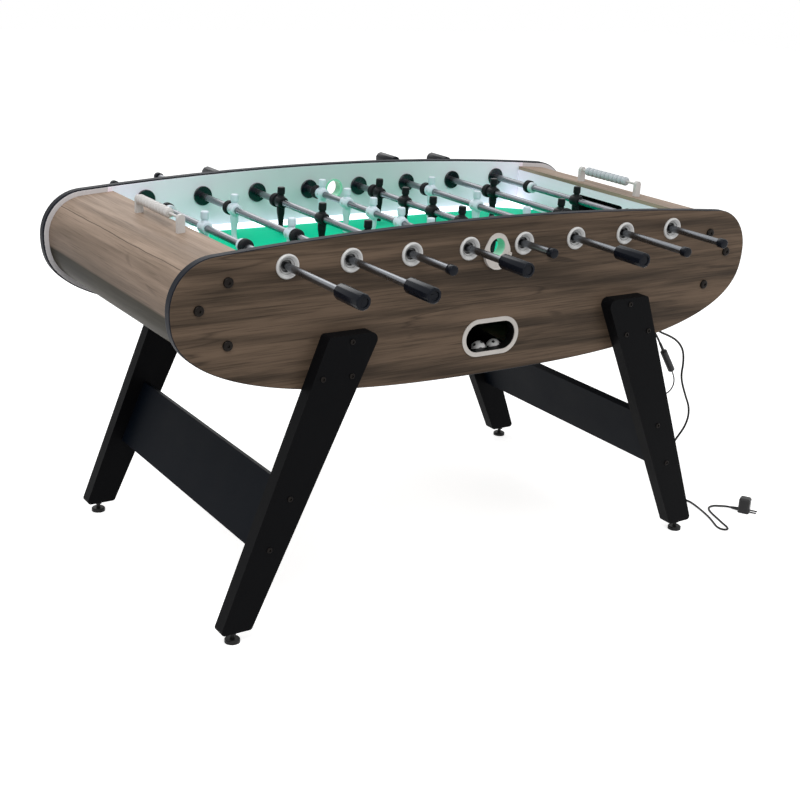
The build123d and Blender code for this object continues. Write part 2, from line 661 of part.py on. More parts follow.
def serve_cup():
    """A plate with a catching lip outside the panel, and the sleeve the ball is served through."""
    face_y = -PANEL_OUTER_Y
    plate = across(serve_plate_face(0), face_y - SERVE_PLATE_THICKNESS, face_y)
    base_z = SERVE_Z - SERVE_BASE_DROP
    base_half = Pos(0, base_z - SERVE_BASE_RADIUS / 2) * Rectangle(2 * SERVE_BASE_RADIUS, SERVE_BASE_RADIUS)
    lip_face = (serve_plate_face(0) - serve_plate_face(SERVE_LIP_WALL)) & base_half
    lip = across(lip_face, face_y - SERVE_LIP_REACH, face_y - SERVE_PLATE_THICKNESS)
    sleeve = Pos(0, 0, SERVE_Z) * bar(2 * SERVE_SLEEVE_RADIUS, face_y, -PANEL_INNER_Y)
    return plate + sleeve + lip - Pos(0, 0, SERVE_Z) * bar(SERVE_BORE, -LEG_OUTER_Y, 0)


def serve_ring():
    """The loose ring round the serve hole on the panel's inner face."""
    face = Circle(SERVE_RING_DIAMETER / 2) - Circle(SERVE_BORE / 2)
    return across(Pos(0, SERVE_Z) * face, -PANEL_INNER_Y, -PANEL_INNER_Y + SERVE_RING_THICKNESS)


def panel_trims():
    return [return_bezel()] + both_sides(serve_cup()) + both_sides(serve_ring())


def rod_bushings():
    """A dished, flanged sleeve through the panel for each rod end, and the ring that locks it inside."""
    bore = ROD_RADIUS + SLIP
    sleeve = BUSHING_SLEEVE_DIAMETER / 2
    rosette = ROSETTE_DIAMETER / 2
    throat = THROAT_DIAMETER / 2
    face = PANEL_OUTER_Y
    bearing_end = PANEL_INNER_Y + BEARING_LENGTH
    outer = turned(
        (bore, PANEL_INNER_Y),
        (sleeve, PANEL_INNER_Y),
        (sleeve, face),
        (rosette, face),
        (rosette, BUSHING_END_Y - ROSETTE_BEVEL),
        (rosette - ROSETTE_BEVEL, BUSHING_END_Y),
        (DISH_DIAMETER / 2, BUSHING_END_Y),
        (throat, BUSHING_END_Y - DISH_DEPTH),
        (throat, bearing_end),
        (bore, bearing_end),
    )
    lock = bar(INNER_FLANGE_DIAMETER, INNER_STOP_Y, PANEL_INNER_Y)
    lock = chamfer(lock.edges().group_by(Axis.Y)[0], INNER_FLANGE_THICKNESS / 4)
    lock -= bar(2 * bore, 0, PANEL_OUTER_Y)
    pieces = []
    for x in rod_places():
        pieces += both_sides(Pos(x, 0, ROD_Z) * outer) + both_sides(Pos(x, 0, ROD_Z) * lock)
    return pieces


# ---------------------------------------------------------------- rods
def man():
    """One player about the rod's axis, facing +X, hanging feet down."""
    sole = -FOOT_RADIUS
    half_foot = FOOT_LENGTH / 2
    toe = -sqrt(FOOT_RADIUS**2 - half_foot**2)
    heel_cut = toe + ANKLE_RISE / 3
    waist = -WAIST_DROP
    ankle = sole + ANKLE_RISE
    shoulder = SHOULDER_HEIGHT
    neck = shoulder - (HEAD_TOP - shoulder) / 4
    front_half = [
        (0, shoulder),
        (SHOULDER_WIDTH / 3, shoulder),
        (SHOULDER_WIDTH / 2, neck),
        (WAIST_WIDTH / 2, waist),
        (ANKLE_WIDTH / 2, ankle),
        (FOOT_WIDTH / 2, heel_cut),
        (FOOT_WIDTH / 2, toe),
        (0, toe),
    ]
    side_half = [
        (0, shoulder),
        (CHEST_DEPTH / 3, shoulder),
        (CHEST_DEPTH / 2, neck),
        (LEG_DEPTH / 2, waist),
        (ANKLE_DEPTH / 2, ankle),
        (half_foot, heel_cut),
        (half_foot, toe),
        (0, toe),
    ]
    front = polygon(*front_half, *[(-u, v) for u, v in reversed(front_half[1:-1])])
    side = polygon(*side_half, *[(-u, v) for u, v in reversed(side_half[1:-1])])
    body = along(front, -LEG_DEPTH, LEG_DEPTH) & across(side, -SHOULDER_WIDTH, SHOULDER_WIDTH)
    head_z = HEAD_TOP - HEAD_DIAMETER / 2
    head = Pos(0, 0, head_z) * Sphere(HEAD_DIAMETER / 2)
    neck_piece = Pos(0, 0, head_z / 2) * Cylinder(NECK_DIAMETER / 2, head_z)
    hub = bar(HUB_DIAMETER, -HUB_LENGTH / 2, HUB_LENGTH / 2)
    whole = body + head + neck_piece + hub
    return whole - bar(ROD_DIAMETER + 2 * SNUG, -SHOULDER_WIDTH, SHOULDER_WIDTH)


def grip(start, end):
    """A handle with a blind bore, from start to end along +Y."""
    piece = chamfer(bar(GRIP_DIAMETER, start, end).edges(), GRIP_BEVEL)
    return piece - bar(ROD_DIAMETER + 2 * SNUG, start - GRIP_BEVEL, end - GRIP_END_WALL)


def end_cap(start, end):
    """The cap over the rod's plain end."""
    piece = bar(CAP_DIAMETER, start, end)
    piece = fillet(piece.edges().group_by(Axis.Y)[-1], CAP_END_WALL)
    return piece - bar(ROD_DIAMETER + 2 * SNUG, start - CAP_LENGTH, end - CAP_END_WALL)


def bumper(face):
    """A rubber stop whose outer face stands at face along +Y."""
    piece = chamfer(bar(BUMPER_DIAMETER, face - BUMPER_LENGTH, face).edges(), BUMPER_BEVEL)
    return piece - bar(ROD_DIAMETER + 2 * SLIP, 0, face + BUMPER_LENGTH)


def collar(face):
    """The stop ring behind a goal rod's bumper."""
    piece = bar(COLLAR_DIAMETER, face - COLLAR_LENGTH, face)
    return piece - bar(ROD_DIAMETER + 2 * SLIP, 0, face + COLLAR_LENGTH)


def rod_travel(stop_face):
    """How far a rod slides either way from its middle place."""
    return INNER_STOP_Y - STOP_CLEARANCE - stop_face


def rod(kind, x, shift_share, handle_side):
    """The nodes of one rod: tube, men, grip and cap, and bumpers. handle_side is -1 or +1 along Y."""
    men_places, stop_face, grip_gap, cap_gap = ROD_TYPES[kind]
    travel = rod_travel(stop_face)
    grip_start = BUSHING_END_Y + travel + grip_gap
    grip_end = grip_start + GRIP_LENGTH
    cap_start = BUSHING_END_Y + travel + cap_gap
    cap_end = cap_start + CAP_LENGTH
    tube = bar(ROD_DIAMETER, -cap_end + CAP_END_WALL, grip_end - GRIP_END_WALL)
    tube -= bar(ROD_DIAMETER - 2 * ROD_WALL, -cap_end, grip_end)
    stops = both_sides(bumper(stop_face))
    if kind == "goal":
        stops += both_sides(collar(stop_face - BUMPER_LENGTH - FIT))
    pieces = {
        "rod": [tube],
        "men": [Pos(0, y, 0) * man() for y in men_places],
        "grip_and_cap": [grip(grip_start, grip_end), mirrored_y(end_cap(cap_start, cap_end))],
        "bumpers": stops,
    }
    turn = 0 if handle_side > 0 else 180
    place = Pos(x, shift_share * travel, ROD_Z) * Rot(0, 0, turn)
    return {part: [place * piece for piece in solids] for part, solids in pieces.items()}


# ---------------------------------------------------------------- score counters
def counter_posts_and_rail():
    """Two posts and a rail on the right-hand end cover; the posts' feet follow the cover."""
    post_top = Pos(COUNTER_X, RAIL_Z) * Circle(POST_WIDTH / 2)
    post_height = RAIL_Z - FIELD_HEIGHT
    stem = Pos(COUNTER_X, RAIL_Z - post_height / 2) * Rectangle(POST_WIDTH, post_height)
    profile = post_top + stem - side_outline(COVER_INSET)
    inner_y = COUNTER_HALF_SPAN - POST_THICKNESS / 2
    outer_y = COUNTER_HALF_SPAN + POST_THICKNESS / 2
    depth = POST_THICKNESS / 2
    hole = Pos(COUNTER_X, 0, RAIL_Z) * bar(RAIL_DIAMETER + 2 * SNUG, 0, inner_y + depth)
    posts = both_sides(across(profile, inner_y, outer_y) - hole)
    return posts + [Pos(COUNTER_X, 0, RAIL_Z) * bar(RAIL_DIAMETER, -inner_y - depth, inner_y + depth)]


def counter_rails():
    return [copy for piece in counter_posts_and_rail() for copy in both_ends(piece)]


def beads(x, shift):
    """A row of beads on a rail, pushed up to the post at +Y and then moved by shift."""
    pieces = []
    first_y = COUNTER_HALF_SPAN - POST_THICKNESS / 2 - FIT + shift
    for number in range(BEAD_COUNT):
        high_y = first_y - number * BEAD_PITCH
        bead = fillet(bar(BEAD_DIAMETER, high_y - BEAD_PITCH + FIT, high_y).edges(), BEAD_ROUNDING)
        bead -= bar(RAIL_DIAMETER + 2 * SLIP, high_y - BEAD_PITCH, high_y + FIT)
        pieces.append(Pos(x, 0, RAIL_Z) * bead)
    return pieces


# ---------------------------------------------------------------- legs
def leg():
    """The right leg at -Y, with its bolt holes and the hole for the levelling foot."""
    outline = FilletPolyline(
        (LEG_TOP_INNER_X, LEG_TOP_Z),
        (LEG_TOP_OUTER_X, LEG_TOP_Z),
        (LEG_FOOT_OUTER_X, FOOT_HEIGHT),
        (LEG_FOOT_INNER_X, FOOT_HEIGHT),
        radius=[LEG_TOP_RADIUS, LEG_CORNER_RADIUS, LEG_CORNER_RADIUS, LEG_CORNER_RADIUS],
        close=True,
    )
    board = across(make_face(outline), -LEG_OUTER_Y, -PANEL_OUTER_Y)
    cuts = [bolt_hole(x, z, -LEG_OUTER_Y - FIT, 0) for x, z in leg_bolt_places() + crossbar_bolt_places()]
    stem_radius = FOOT_STEM_DIAMETER / 2 + HOLE_CLEARANCE
    stem_hole = Cylinder(stem_radius, 2 * (FOOT_STEM_GRIP + FIT))
    x, y = foot_place()
    cuts.append(Pos(x, -y, FOOT_HEIGHT) * stem_hole)
    return board - cuts


def foot_place():
    return leg_middle(FOOT_HEIGHT), (PANEL_OUTER_Y + LEG_OUTER_Y) / 2


def levelling_feet():
    """A pad, a stem that screws up into the leg, and the nut that locks it."""
    pad = Pos(0, 0, FOOT_PAD_THICKNESS / 2) * Cylinder(FOOT_PAD_DIAMETER / 2, FOOT_PAD_THICKNESS)
    pad = chamfer(pad.edges().group_by(Axis.Z)[-1], FOOT_PAD_BEVEL)
    stem_length = FOOT_HEIGHT + FOOT_STEM_GRIP - FOOT_PAD_THICKNESS
    stem = Pos(0, 0, FOOT_PAD_THICKNESS + stem_length / 2) * Cylinder(FOOT_STEM_DIAMETER / 2, stem_length)
    nut_face = RegularPolygon(FOOT_NUT_WIDTH / 2, 6, major_radius=False)
    nut = Pos(0, 0, FOOT_HEIGHT - FOOT_NUT_THICKNESS) * extrude(nut_face, FOOT_NUT_THICKNESS)
    x, y = foot_place()
    return four_corners(Pos(x, -y, 0) * (pad + stem + nut))


def crossbars():
    """The boards that join each end's two legs, leaning with them."""
    lean_sine, lean_cosine = leg_lean()
    tilt = Rot(0, -degrees(atan2(lean_sine, lean_cosine)), 0)
    place = Pos(leg_middle(CROSSBAR_HEIGHT), 0, CROSSBAR_HEIGHT)
    board = place * tilt * Box(CROSSBAR_THICKNESS, 2 * PANEL_OUTER_Y, CROSSBAR_WIDTH)
    for x, z in crossbar_bolt_places():
        board -= both_sides(bolt_hole(x, z, -LEG_OUTER_Y, -PANEL_OUTER_Y + CROSSBAR_BOLT_BITE + FIT))
    return both_ends(board)


# ---------------------------------------------------------------- power cord
# The cord's hanging stretch, from the connector to the floor: x, in and height, chosen by hand.
HANGING_CORD = [
    (629.0, 87.5, 495.1),
    (609.0, 86.5, 516.0),
    (583.0, 83.5, 536.0),
    (557.0, 77.5, 549.0),
    (540.0, 64.5, 553.0),
    (540.0, 40.5, 553.0),
    (551.0, 25.5, 545.0),
    (571.0, 18.5, 531.0),
    (601.0, 18.5, 519.0),
    (634.0, 20.5, 502.0),
    (661.0, 21.5, 475.0),
    (670.0, 22.5, 438.0),
    (667.0, 23.5, 398.0),
    (689.0, 23.5, 350.0),
    (716.0, 24.5, 303.0),
    (714.0, 27.5, 258.0),
    (688.0, 35.5, 216.0),
    (672.0, 48.5, 172.0),
    (680.0, 62.5, 126.0),
    (706.0, 72.5, 82.0),
    (739.0, 79.5, 44.0),
    (770.0, 85.5, 17.0),
    (794.0, 88.5, 4.5),
]
# Its lying stretch, from there towards the plug: x and in.
LYING_CORD = [
    (809.0, 73.5),
    (803.0, 39.5),
    (793.0, 3.5),
    (779.0, -36.5),
    (765.0, -65.5),
    (754.0, -86.5),
    (751.0, -103.5),
    (758.0, -114.5),
    (769.0, -115.5),
    (777.0, -103.5),
    (783.0, -83.5),
    (793.0, -55.5),
    (803.0, -24.5),
    (814.0, 0.5),
    (829.0, 15.5),
    (848.0, 16.5),
    (862.0, 7.5),
]
# The thin lead, from the connector's lower end to the gland: x, in and height.
HANGING_LEAD = [
    (707.0, 87.5, 377.4),
    (711.0, 86.5, 356.0),
    (701.0, 85.5, 338.0),
    (681.0, 84.5, 329.0),
    (655.0, 82.5, 328.0),
    (626.0, 78.5, 338.0),
    (600.0, 74.5, 357.0),
    (578.0, 70.5, 385.0),
    (556.0, 65.5, 418.0),
    (530.0, 60.5, 447.0),
    (503.0, 56.5, 466.0),
    (481.0, 54.0, 482.0),
    (470.0, 53.5, 503.0),
]
BEND_SHARE = 0.45             # the part of the shorter run that an arc may use


def bend_radii(points):
    """The largest arc at each corner that its two runs leave room for."""
    radii = []
    for before, corner, after in zip(points, points[1:], points[2:]):
        run_in = Vector(*corner) - Vector(*before)
        run_out = Vector(*after) - Vector(*corner)
        half_turn = radians(run_in.get_angle(run_out)) / 2
        radii.append(BEND_SHARE * min(run_in.length, run_out.length) / tan(half_turn))
    return radii


def flexible(name, points, diameter):
    """A round cord along straight runs joined by tangent arcs."""
    radii = bend_radii(points)
    path = FilletPolyline(*points, radius=radii)
    cord = sweep(Plane(origin=path @ 0, z_dir=path % 0) * Circle(diameter / 2), path=path)
    share = cord.volume / (pi * diameter**2 / 4 * path.length)
    print(name, "radii", [round(radius, 1) for radius in radii])
    print(name, "length", round(path.length, 1), "volume / (section x length)", round(share, 4))
    return cord


def clip_height():
    """Height of the middle of the clip's hole."""
    return underside_height(CLIP_X, COVER_INSET) - CLIP_DROP


def hung(points):
    """Places of hanging pieces, with their heights stretched to suit the clip's height."""
    stretch = clip_height() / CLIP_HEIGHT_DRAWN
    return [(x, inwards - PANEL_INNER_Y, height * stretch) for x, inwards, height in points]


def lying(points):
    """Places of the cord's centre line where it lies on the floor."""
    height = CORD_DIAMETER / 2 + CORD_FLOOR_GAP
    return [(x, inwards - PANEL_INNER_Y, height) for x, inwards in points]


def plug_direction():
    return Vector(cos(radians(PLUG_TURN)), sin(radians(PLUG_TURN)), 0)


def before_plug(distance):
    """A point on the plug's axis, at the cord's height and that far behind the plug's middle."""
    middle = Vector(PLUG_X, PLUG_IN - PANEL_INNER_Y, PLUG_ENTRY_HEIGHT)
    return tuple(middle - plug_direction() * distance)


def plug():
    """The plug's body standing on the floor, its strain relief and its two pins."""
    body = Pos(0, 0, PLUG_HEIGHT / 2) * Box(PLUG_LENGTH, PLUG_WIDTH, PLUG_HEIGHT)
    body = chamfer(body.edges().group_by(Axis.Z)[-1] + body.edges().filter_by(Axis.Z), PLUG_BEVEL)
    tip_radius = CORD_DIAMETER / 2 + CORD_DIAMETER / 8
    root_radius = PLUG_ENTRY_HEIGHT - FIT
    relief = Rot(0, 90, 0) * Cone(tip_radius, root_radius, PLUG_RELIEF)
    relief = Pos(-(PLUG_LENGTH + PLUG_RELIEF) / 2, 0, PLUG_ENTRY_HEIGHT) * relief
    pin = Rot(0, 90, 0) * Cylinder(PIN_DIAMETER / 2, PIN_LENGTH)
    pin = Pos((PLUG_LENGTH + PIN_LENGTH) / 2, PIN_PITCH / 2, PLUG_ENTRY_HEIGHT) * pin
    whole = body + relief + both_sides(pin)
    return Pos(PLUG_X, PLUG_IN - PANEL_INNER_Y, 0) * Rot(0, 0, PLUG_TURN) * whole


def connector_top():
    return hung([CONNECTOR_TOP])[0]


def connector_axis():
    """Unit vector from the connector's lower end to its upper one."""
    lean = radians(CONNECTOR_LEAN)
    return Vector(-sin(lean), 0, cos(lean))


def connector_foot():
    return tuple(Vector(*connector_top()) - connector_axis() * CONNECTOR_LENGTH)


def connector():
    """The barrel where the cord meets the thin lead, with a taper on the cord's side."""
    barrel_length = CONNECTOR_LENGTH - CONNECTOR_TAPER
    barrel = Pos(0, 0, barrel_length / 2) * Cylinder(CONNECTOR_DIAMETER / 2, barrel_length)
    rings = barrel.edges().group_by(Axis.Z)
    barrel = chamfer(rings[0] + rings[-1], CONNECTOR_BEVEL)
    root_radius = CONNECTOR_DIAMETER / 2 - CONNECTOR_BEVEL
    tip_radius = CORD_DIAMETER / 2 + CORD_DIAMETER / 8
    taper = Cone(root_radius, tip_radius, CONNECTOR_TAPER)
    taper = Pos(0, 0, barrel_length + CONNECTOR_TAPER / 2) * taper
    return Plane(origin=connector_foot(), z_dir=connector_axis()) * (barrel + taper)


def gland_tip():
    """Where the thin lead enters the gland under the bottom board."""
    return (GLAND_X, GLAND_IN - PANEL_INNER_Y, BOTTOM_BOARD_Z - GLAND_FLANGE_THICKNESS - GLAND_TAPER)


def gland():
    """A flange under the bottom board with a tapered nose for the lead."""
    flange = Cylinder(GLAND_FLANGE_DIAMETER / 2, GLAND_FLANGE_THICKNESS)
    flange = Pos(0, 0, -GLAND_FLANGE_THICKNESS / 2) * flange
    nose = Cone(LEAD_DIAMETER, 2 * LEAD_DIAMETER, GLAND_TAPER)
    nose = Pos(0, 0, -GLAND_FLANGE_THICKNESS - GLAND_TAPER / 2) * nose
    return Pos(GLAND_X, GLAND_IN - PANEL_INNER_Y, BOTTOM_BOARD_Z) * (flange + nose)


def cord_clip():
    """A loop on a stem under the right end cover, which the cord hangs through."""
    y = CLIP_IN - PANEL_INNER_Y
    z = clip_height()
    ring = Pos(CLIP_X, z) * Circle(CLIP_DIAMETER / 2)
    stem_height = RIM_Z - z
    stem = Pos(CLIP_X, z + stem_height / 2) * Rectangle(CLIP_HOLE, stem_height)
    profile = ring + stem - side_outline(COVER_INSET) - Pos(CLIP_X, z) * Circle(CLIP_HOLE / 2)
    lowest = profile.faces().sort_by(Axis.Y)[0]
    return across(lowest, y - CLIP_THICKNESS / 2, y + CLIP_THICKNESS / 2)


# ---------------------------------------------------------------- nodes
def save_cabinet():
    save("near_side_panel", [side_panel(with_window=True)])
    save("far_side_panel", [mirrored_y(side_panel(with_window=False))])
    save("end_covers", end_covers())
    save("end_walls", end_walls())
    save("playfield", playfield())
    save("field_ramps", side_ramps() + corner_ramps())
    save("led_strips", led_strips())
    save("cabinet_bottom", cabinet_bottom())
    save("cabinet_cleats", cabinet_cleats())
    save("ball_return", ball_return())
    save("panel_trims", panel_trims())
    save("rod_bushings", rod_bushings())
    save("bolts", bolts())
    save("balls", balls())


def save_stand():
    near_right = leg()
    save("near_right_leg", [near_right])
    save("near_left_leg", [mirrored_x(near_right)])
    save("far_right_leg", [mirrored_y(near_right)])
    save("far_left_leg", [mirrored_x(mirrored_y(near_right))])
    save("crossbars", crossbars())
    save("levelling_feet", levelling_feet())


def save_counters():
    save("counter_rails", counter_rails())
    save("left_beads", beads(-COUNTER_X, 0))
    save("right_beads", beads(COUNTER_X, RIGHT_BEADS_SHIFT))


def save_rods():
    for (team, kind, shift_share), x in zip(RODS, rod_places()):
        handle_side = -1 if team == "white" else 1
        for part, pieces in rod(kind, x, shift_share, handle_side).items():
            save(f"{team}_{kind}_{part}", pieces)


def cord_points():
    entry = PLUG_LENGTH / 2 + PLUG_RELIEF
    ends = [before_plug(entry + PLUG_RUN_IN), before_plug(entry)]
    return [connector_top(), *hung(HANGING_CORD), *lying(LYING_CORD), *ends]


def lead_points():
    return [connector_foot(), *hung(HANGING_LEAD), gland_tip()]


def save_cord():
    save("power_cord", [flexible("cord", cord_points(), CORD_DIAMETER)])
    save("table_lead", [flexible("lead", lead_points(), LEAD_DIAMETER)])
    save("connector", [connector()])
    save("plug", [plug()])
    save("cord_fixings", [gland(), cord_clip()])


os.makedirs("parts", exist_ok=True)
save_cabinet()
save_stand()
save_counters()
save_rods()
save_cord()
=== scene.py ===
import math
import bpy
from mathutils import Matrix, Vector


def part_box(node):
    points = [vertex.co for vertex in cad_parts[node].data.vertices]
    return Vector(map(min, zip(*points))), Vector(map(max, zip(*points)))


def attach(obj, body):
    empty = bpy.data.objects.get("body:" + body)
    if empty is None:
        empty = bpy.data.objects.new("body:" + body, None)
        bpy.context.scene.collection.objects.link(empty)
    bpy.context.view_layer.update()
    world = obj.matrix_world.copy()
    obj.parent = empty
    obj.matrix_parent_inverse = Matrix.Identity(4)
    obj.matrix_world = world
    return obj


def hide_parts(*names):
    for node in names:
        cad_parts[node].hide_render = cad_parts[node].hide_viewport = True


bl_info = {
    "name": "Foosball Table",
    "version": (1, 0, 0),
    "blender": (4, 5, 0),
    "location": "View3D > Sidebar > Foosball",
    "description": "Dresses a foosball table with its players, handles, finishes, cord and stage",
    "category": "Object",
}

import bmesh
import bpy
from bpy.props import FloatProperty, FloatVectorProperty, IntProperty, PointerProperty
from mathutils import Matrix, Vector

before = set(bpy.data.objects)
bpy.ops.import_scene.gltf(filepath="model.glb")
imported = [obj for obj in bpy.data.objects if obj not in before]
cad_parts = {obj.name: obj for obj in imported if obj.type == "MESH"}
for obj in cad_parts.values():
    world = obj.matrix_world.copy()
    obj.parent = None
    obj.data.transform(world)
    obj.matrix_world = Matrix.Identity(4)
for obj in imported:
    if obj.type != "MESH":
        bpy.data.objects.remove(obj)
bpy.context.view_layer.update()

# From the left-hand end: team and rod. White's handles are on the near side, black's on the far side.
RODS = (
    ("white", "goal"),
    ("white", "defence"),
    ("black", "attack"),
    ("white", "midfield"),
    ("black", "midfield"),
    ("white", "attack"),
    ("black", "defence"),
    ("black", "goal"),
)
MEN_PER_ROD = {"goal": 1, "defence": 2, "attack": 3, "midfield": 5}
BEADS_PER_COUNTER = 10
MILLIMETRE = 0.001
HUB_GAP = 0.0001              # metres by which a hub is short of its room at each end
COLLAR_GAP = 0.0003           # metres between a bumper and the collar beside it
BEAD_GAP = 0.0006             # metres between two beads of a row

# -------------------- where one finish meets another, in metres
# Distances from the table's middle
OUTER_FACE, INNER_FACE = (-corner.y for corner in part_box("near_side_panel"))
ROSETTE_DISH = 0.3628         # a bushing is painted dark from here inwards, as painted shade down its throat
INNER_LIGHT_FADE_START = 0.1500     # the inner walls begin to pale here, towards the ends: the field's green light painted on them fades to the end walls' white
COVER_LOW_X = 0.6200          # further out than this a side panel's inner face stands clear of the covers
# Heights
FIELD_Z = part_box("playfield")[1].z
COVER_JOINT_Z = 0.8095        # the boards' joint on an end cover's shoulder
COVER_UNDER_Z = 0.7140        # below this an end cover is dark
# Widths
LAMINATE = 0.0004             # thickness of the laminate on a side panel's faces
INSET = 0.0002                # how far inside a panel's face its trims and bushings change colour
JOINT_HALF_WIDTH = 0.0007     # half the dark line of a boards' joint
UNDER_BLEND = 0.0030          # half the height in which an end cover turns dark


# -------------------- the sizes and colours a user may change
def colour(name, description, red, green, blue):
    """A colour setting, in linear red, green and blue."""
    return FloatVectorProperty(
        name=name, description=description, subtype="COLOR", default=(red, green, blue), min=0, max=1
    )


def distance(name, description, default):
    """A length setting, in metres."""
    return FloatProperty(
        name=name, description=description, default=default, min=0, unit="LENGTH", precision=4
    )


class FoosballFinish(bpy.types.PropertyGroup):
    """Colours of the table's finishes"""

    # One oak laminate: painted darker on the side panels as painted shade and lighter on the end covers as
    # painted light, for the covers face the light from above.
    wood_light: colour("Laminate, light", "Light grain of the side panels", 0.148, 0.102, 0.070)
    wood_dark: colour("Laminate, dark", "Dark grain of the side panels", 0.034, 0.024, 0.016)
    cover_light: colour("End cover, light", "Light grain of the end covers", 0.385, 0.290, 0.225)
    cover_dark: colour("End cover, dark", "Dark grain of the end covers", 0.235, 0.176, 0.132)
    edge_band: colour("Edge band", "Band round the side panels", 0.0035, 0.0050, 0.0100)
    cover_under: colour("End cover, underside", "End covers below the nose", 0.024, 0.020, 0.012)
    # Painted light: the inner walls' white is painted teal by the field's green light in the middle, and
    # pales to the end walls' white towards the ends.
    wall_field_lit: colour("Inner walls", "Inner faces of the side panels at the middle", 0.565, 0.640, 0.655)
    end_strip: colour("Inner faces, ends", "Inner faces beyond the end covers", 0.620, 0.600, 0.610)
    end_white: colour("End walls", "End walls, and the inner walls next to them", 0.970, 0.880, 1.000)
    field_green: colour("Playing field", "Board that the ball runs on", 0.000, 0.740, 0.400)
    ramp_white: colour("Ramps", "Lit ramps round the playing field", 0.860, 0.900, 0.900)
    lacquer: colour("Stand", "Lacquer of the legs", 0.0028, 0.0029, 0.0034)
    crossbar_black: colour("Crossbars", "Lacquer of the crossbars", 0.0016, 0.0028, 0.0052)
    grip_black: colour("Handles", "Handles and end caps", 0.0024, 0.0040, 0.0082)
    men_white: colour("White team", "Players of the white team", 0.600, 0.690, 0.760)
    men_black: colour("Black team", "Players of the black team", 0.006, 0.008, 0.009)
    trim_white: colour("Trims", "Bezel and serve cups", 0.600, 0.565, 0.530)
    counter_white: colour("Score counters", "Counters' posts, rails and left beads", 0.560, 0.545, 0.530)
    bead_grey: colour("Right beads", "Beads of the right-hand counter", 0.450, 0.490, 0.520)
    rosette_grey: colour("Rosettes", "Outer flanges of the rod bushings", 0.680, 0.680, 0.670)


class FoosballSizes(bpy.types.PropertyGroup):
    """Sizes of the pieces that are modelled here"""

    hub_length: distance("Hub length", "Length of a player's hub along its rod", 0.0306)
    hub_radius: distance("Hub radius", "Radius of a player's hub", 0.0138)
    rod_radius: distance("Rod radius", "Radius of the steel rods", 0.008)
    grip_length: distance("Handle length", "Length of a handle", 0.086)
    grip_radius: distance("Handle radius", "Radius of a handle over its corners", 0.0168)
    grip_sides: IntProperty(
        name="Handle facets", description="Flat sides of a handle", default=10, min=6, max=24
    )
    cap_length: distance("End cap length", "Length of the cap on a rod's plain end", 0.018)
    cap_radius: distance("End cap radius", "Radius of the cap on a rod's plain end", 0.011)
    bumper_length: distance("Bumper length", "Length of a rubber stop", 0.0171)
    bumper_radius: distance("Bumper radius", "Radius of a rubber stop", 0.017)
    collar_length: distance("Collar length", "Length of the collars on the goal rods", 0.0117)
    collar_radius: distance("Collar radius", "Radius of the collars on the goal rods", 0.014)
    bead_bore: distance("Bead bore", "Radius of the hole in a score bead", 0.0033)
    spot_rings: IntProperty(
        name="Ball spots", description="Size of the dark spots on a ball", default=2, min=1, max=3
    )
    cord_radius: distance("Cord radius", "Radius of the power cord", 0.00275)
    lead_radius: distance("Lead radius", "Radius of the thin lead", 0.00175)


# -------------------- material building
RAMP_GLOW = 1.8               # how strongly the ramps shine
# How fast wood grain changes along X, Y and Z: with the grain, and across it
GRAIN_ALONG_X = ((1, 0, 0), (0, 1, 1))
GRAIN_ALONG_Y = ((0, 1, 0), (1, 0, 1))


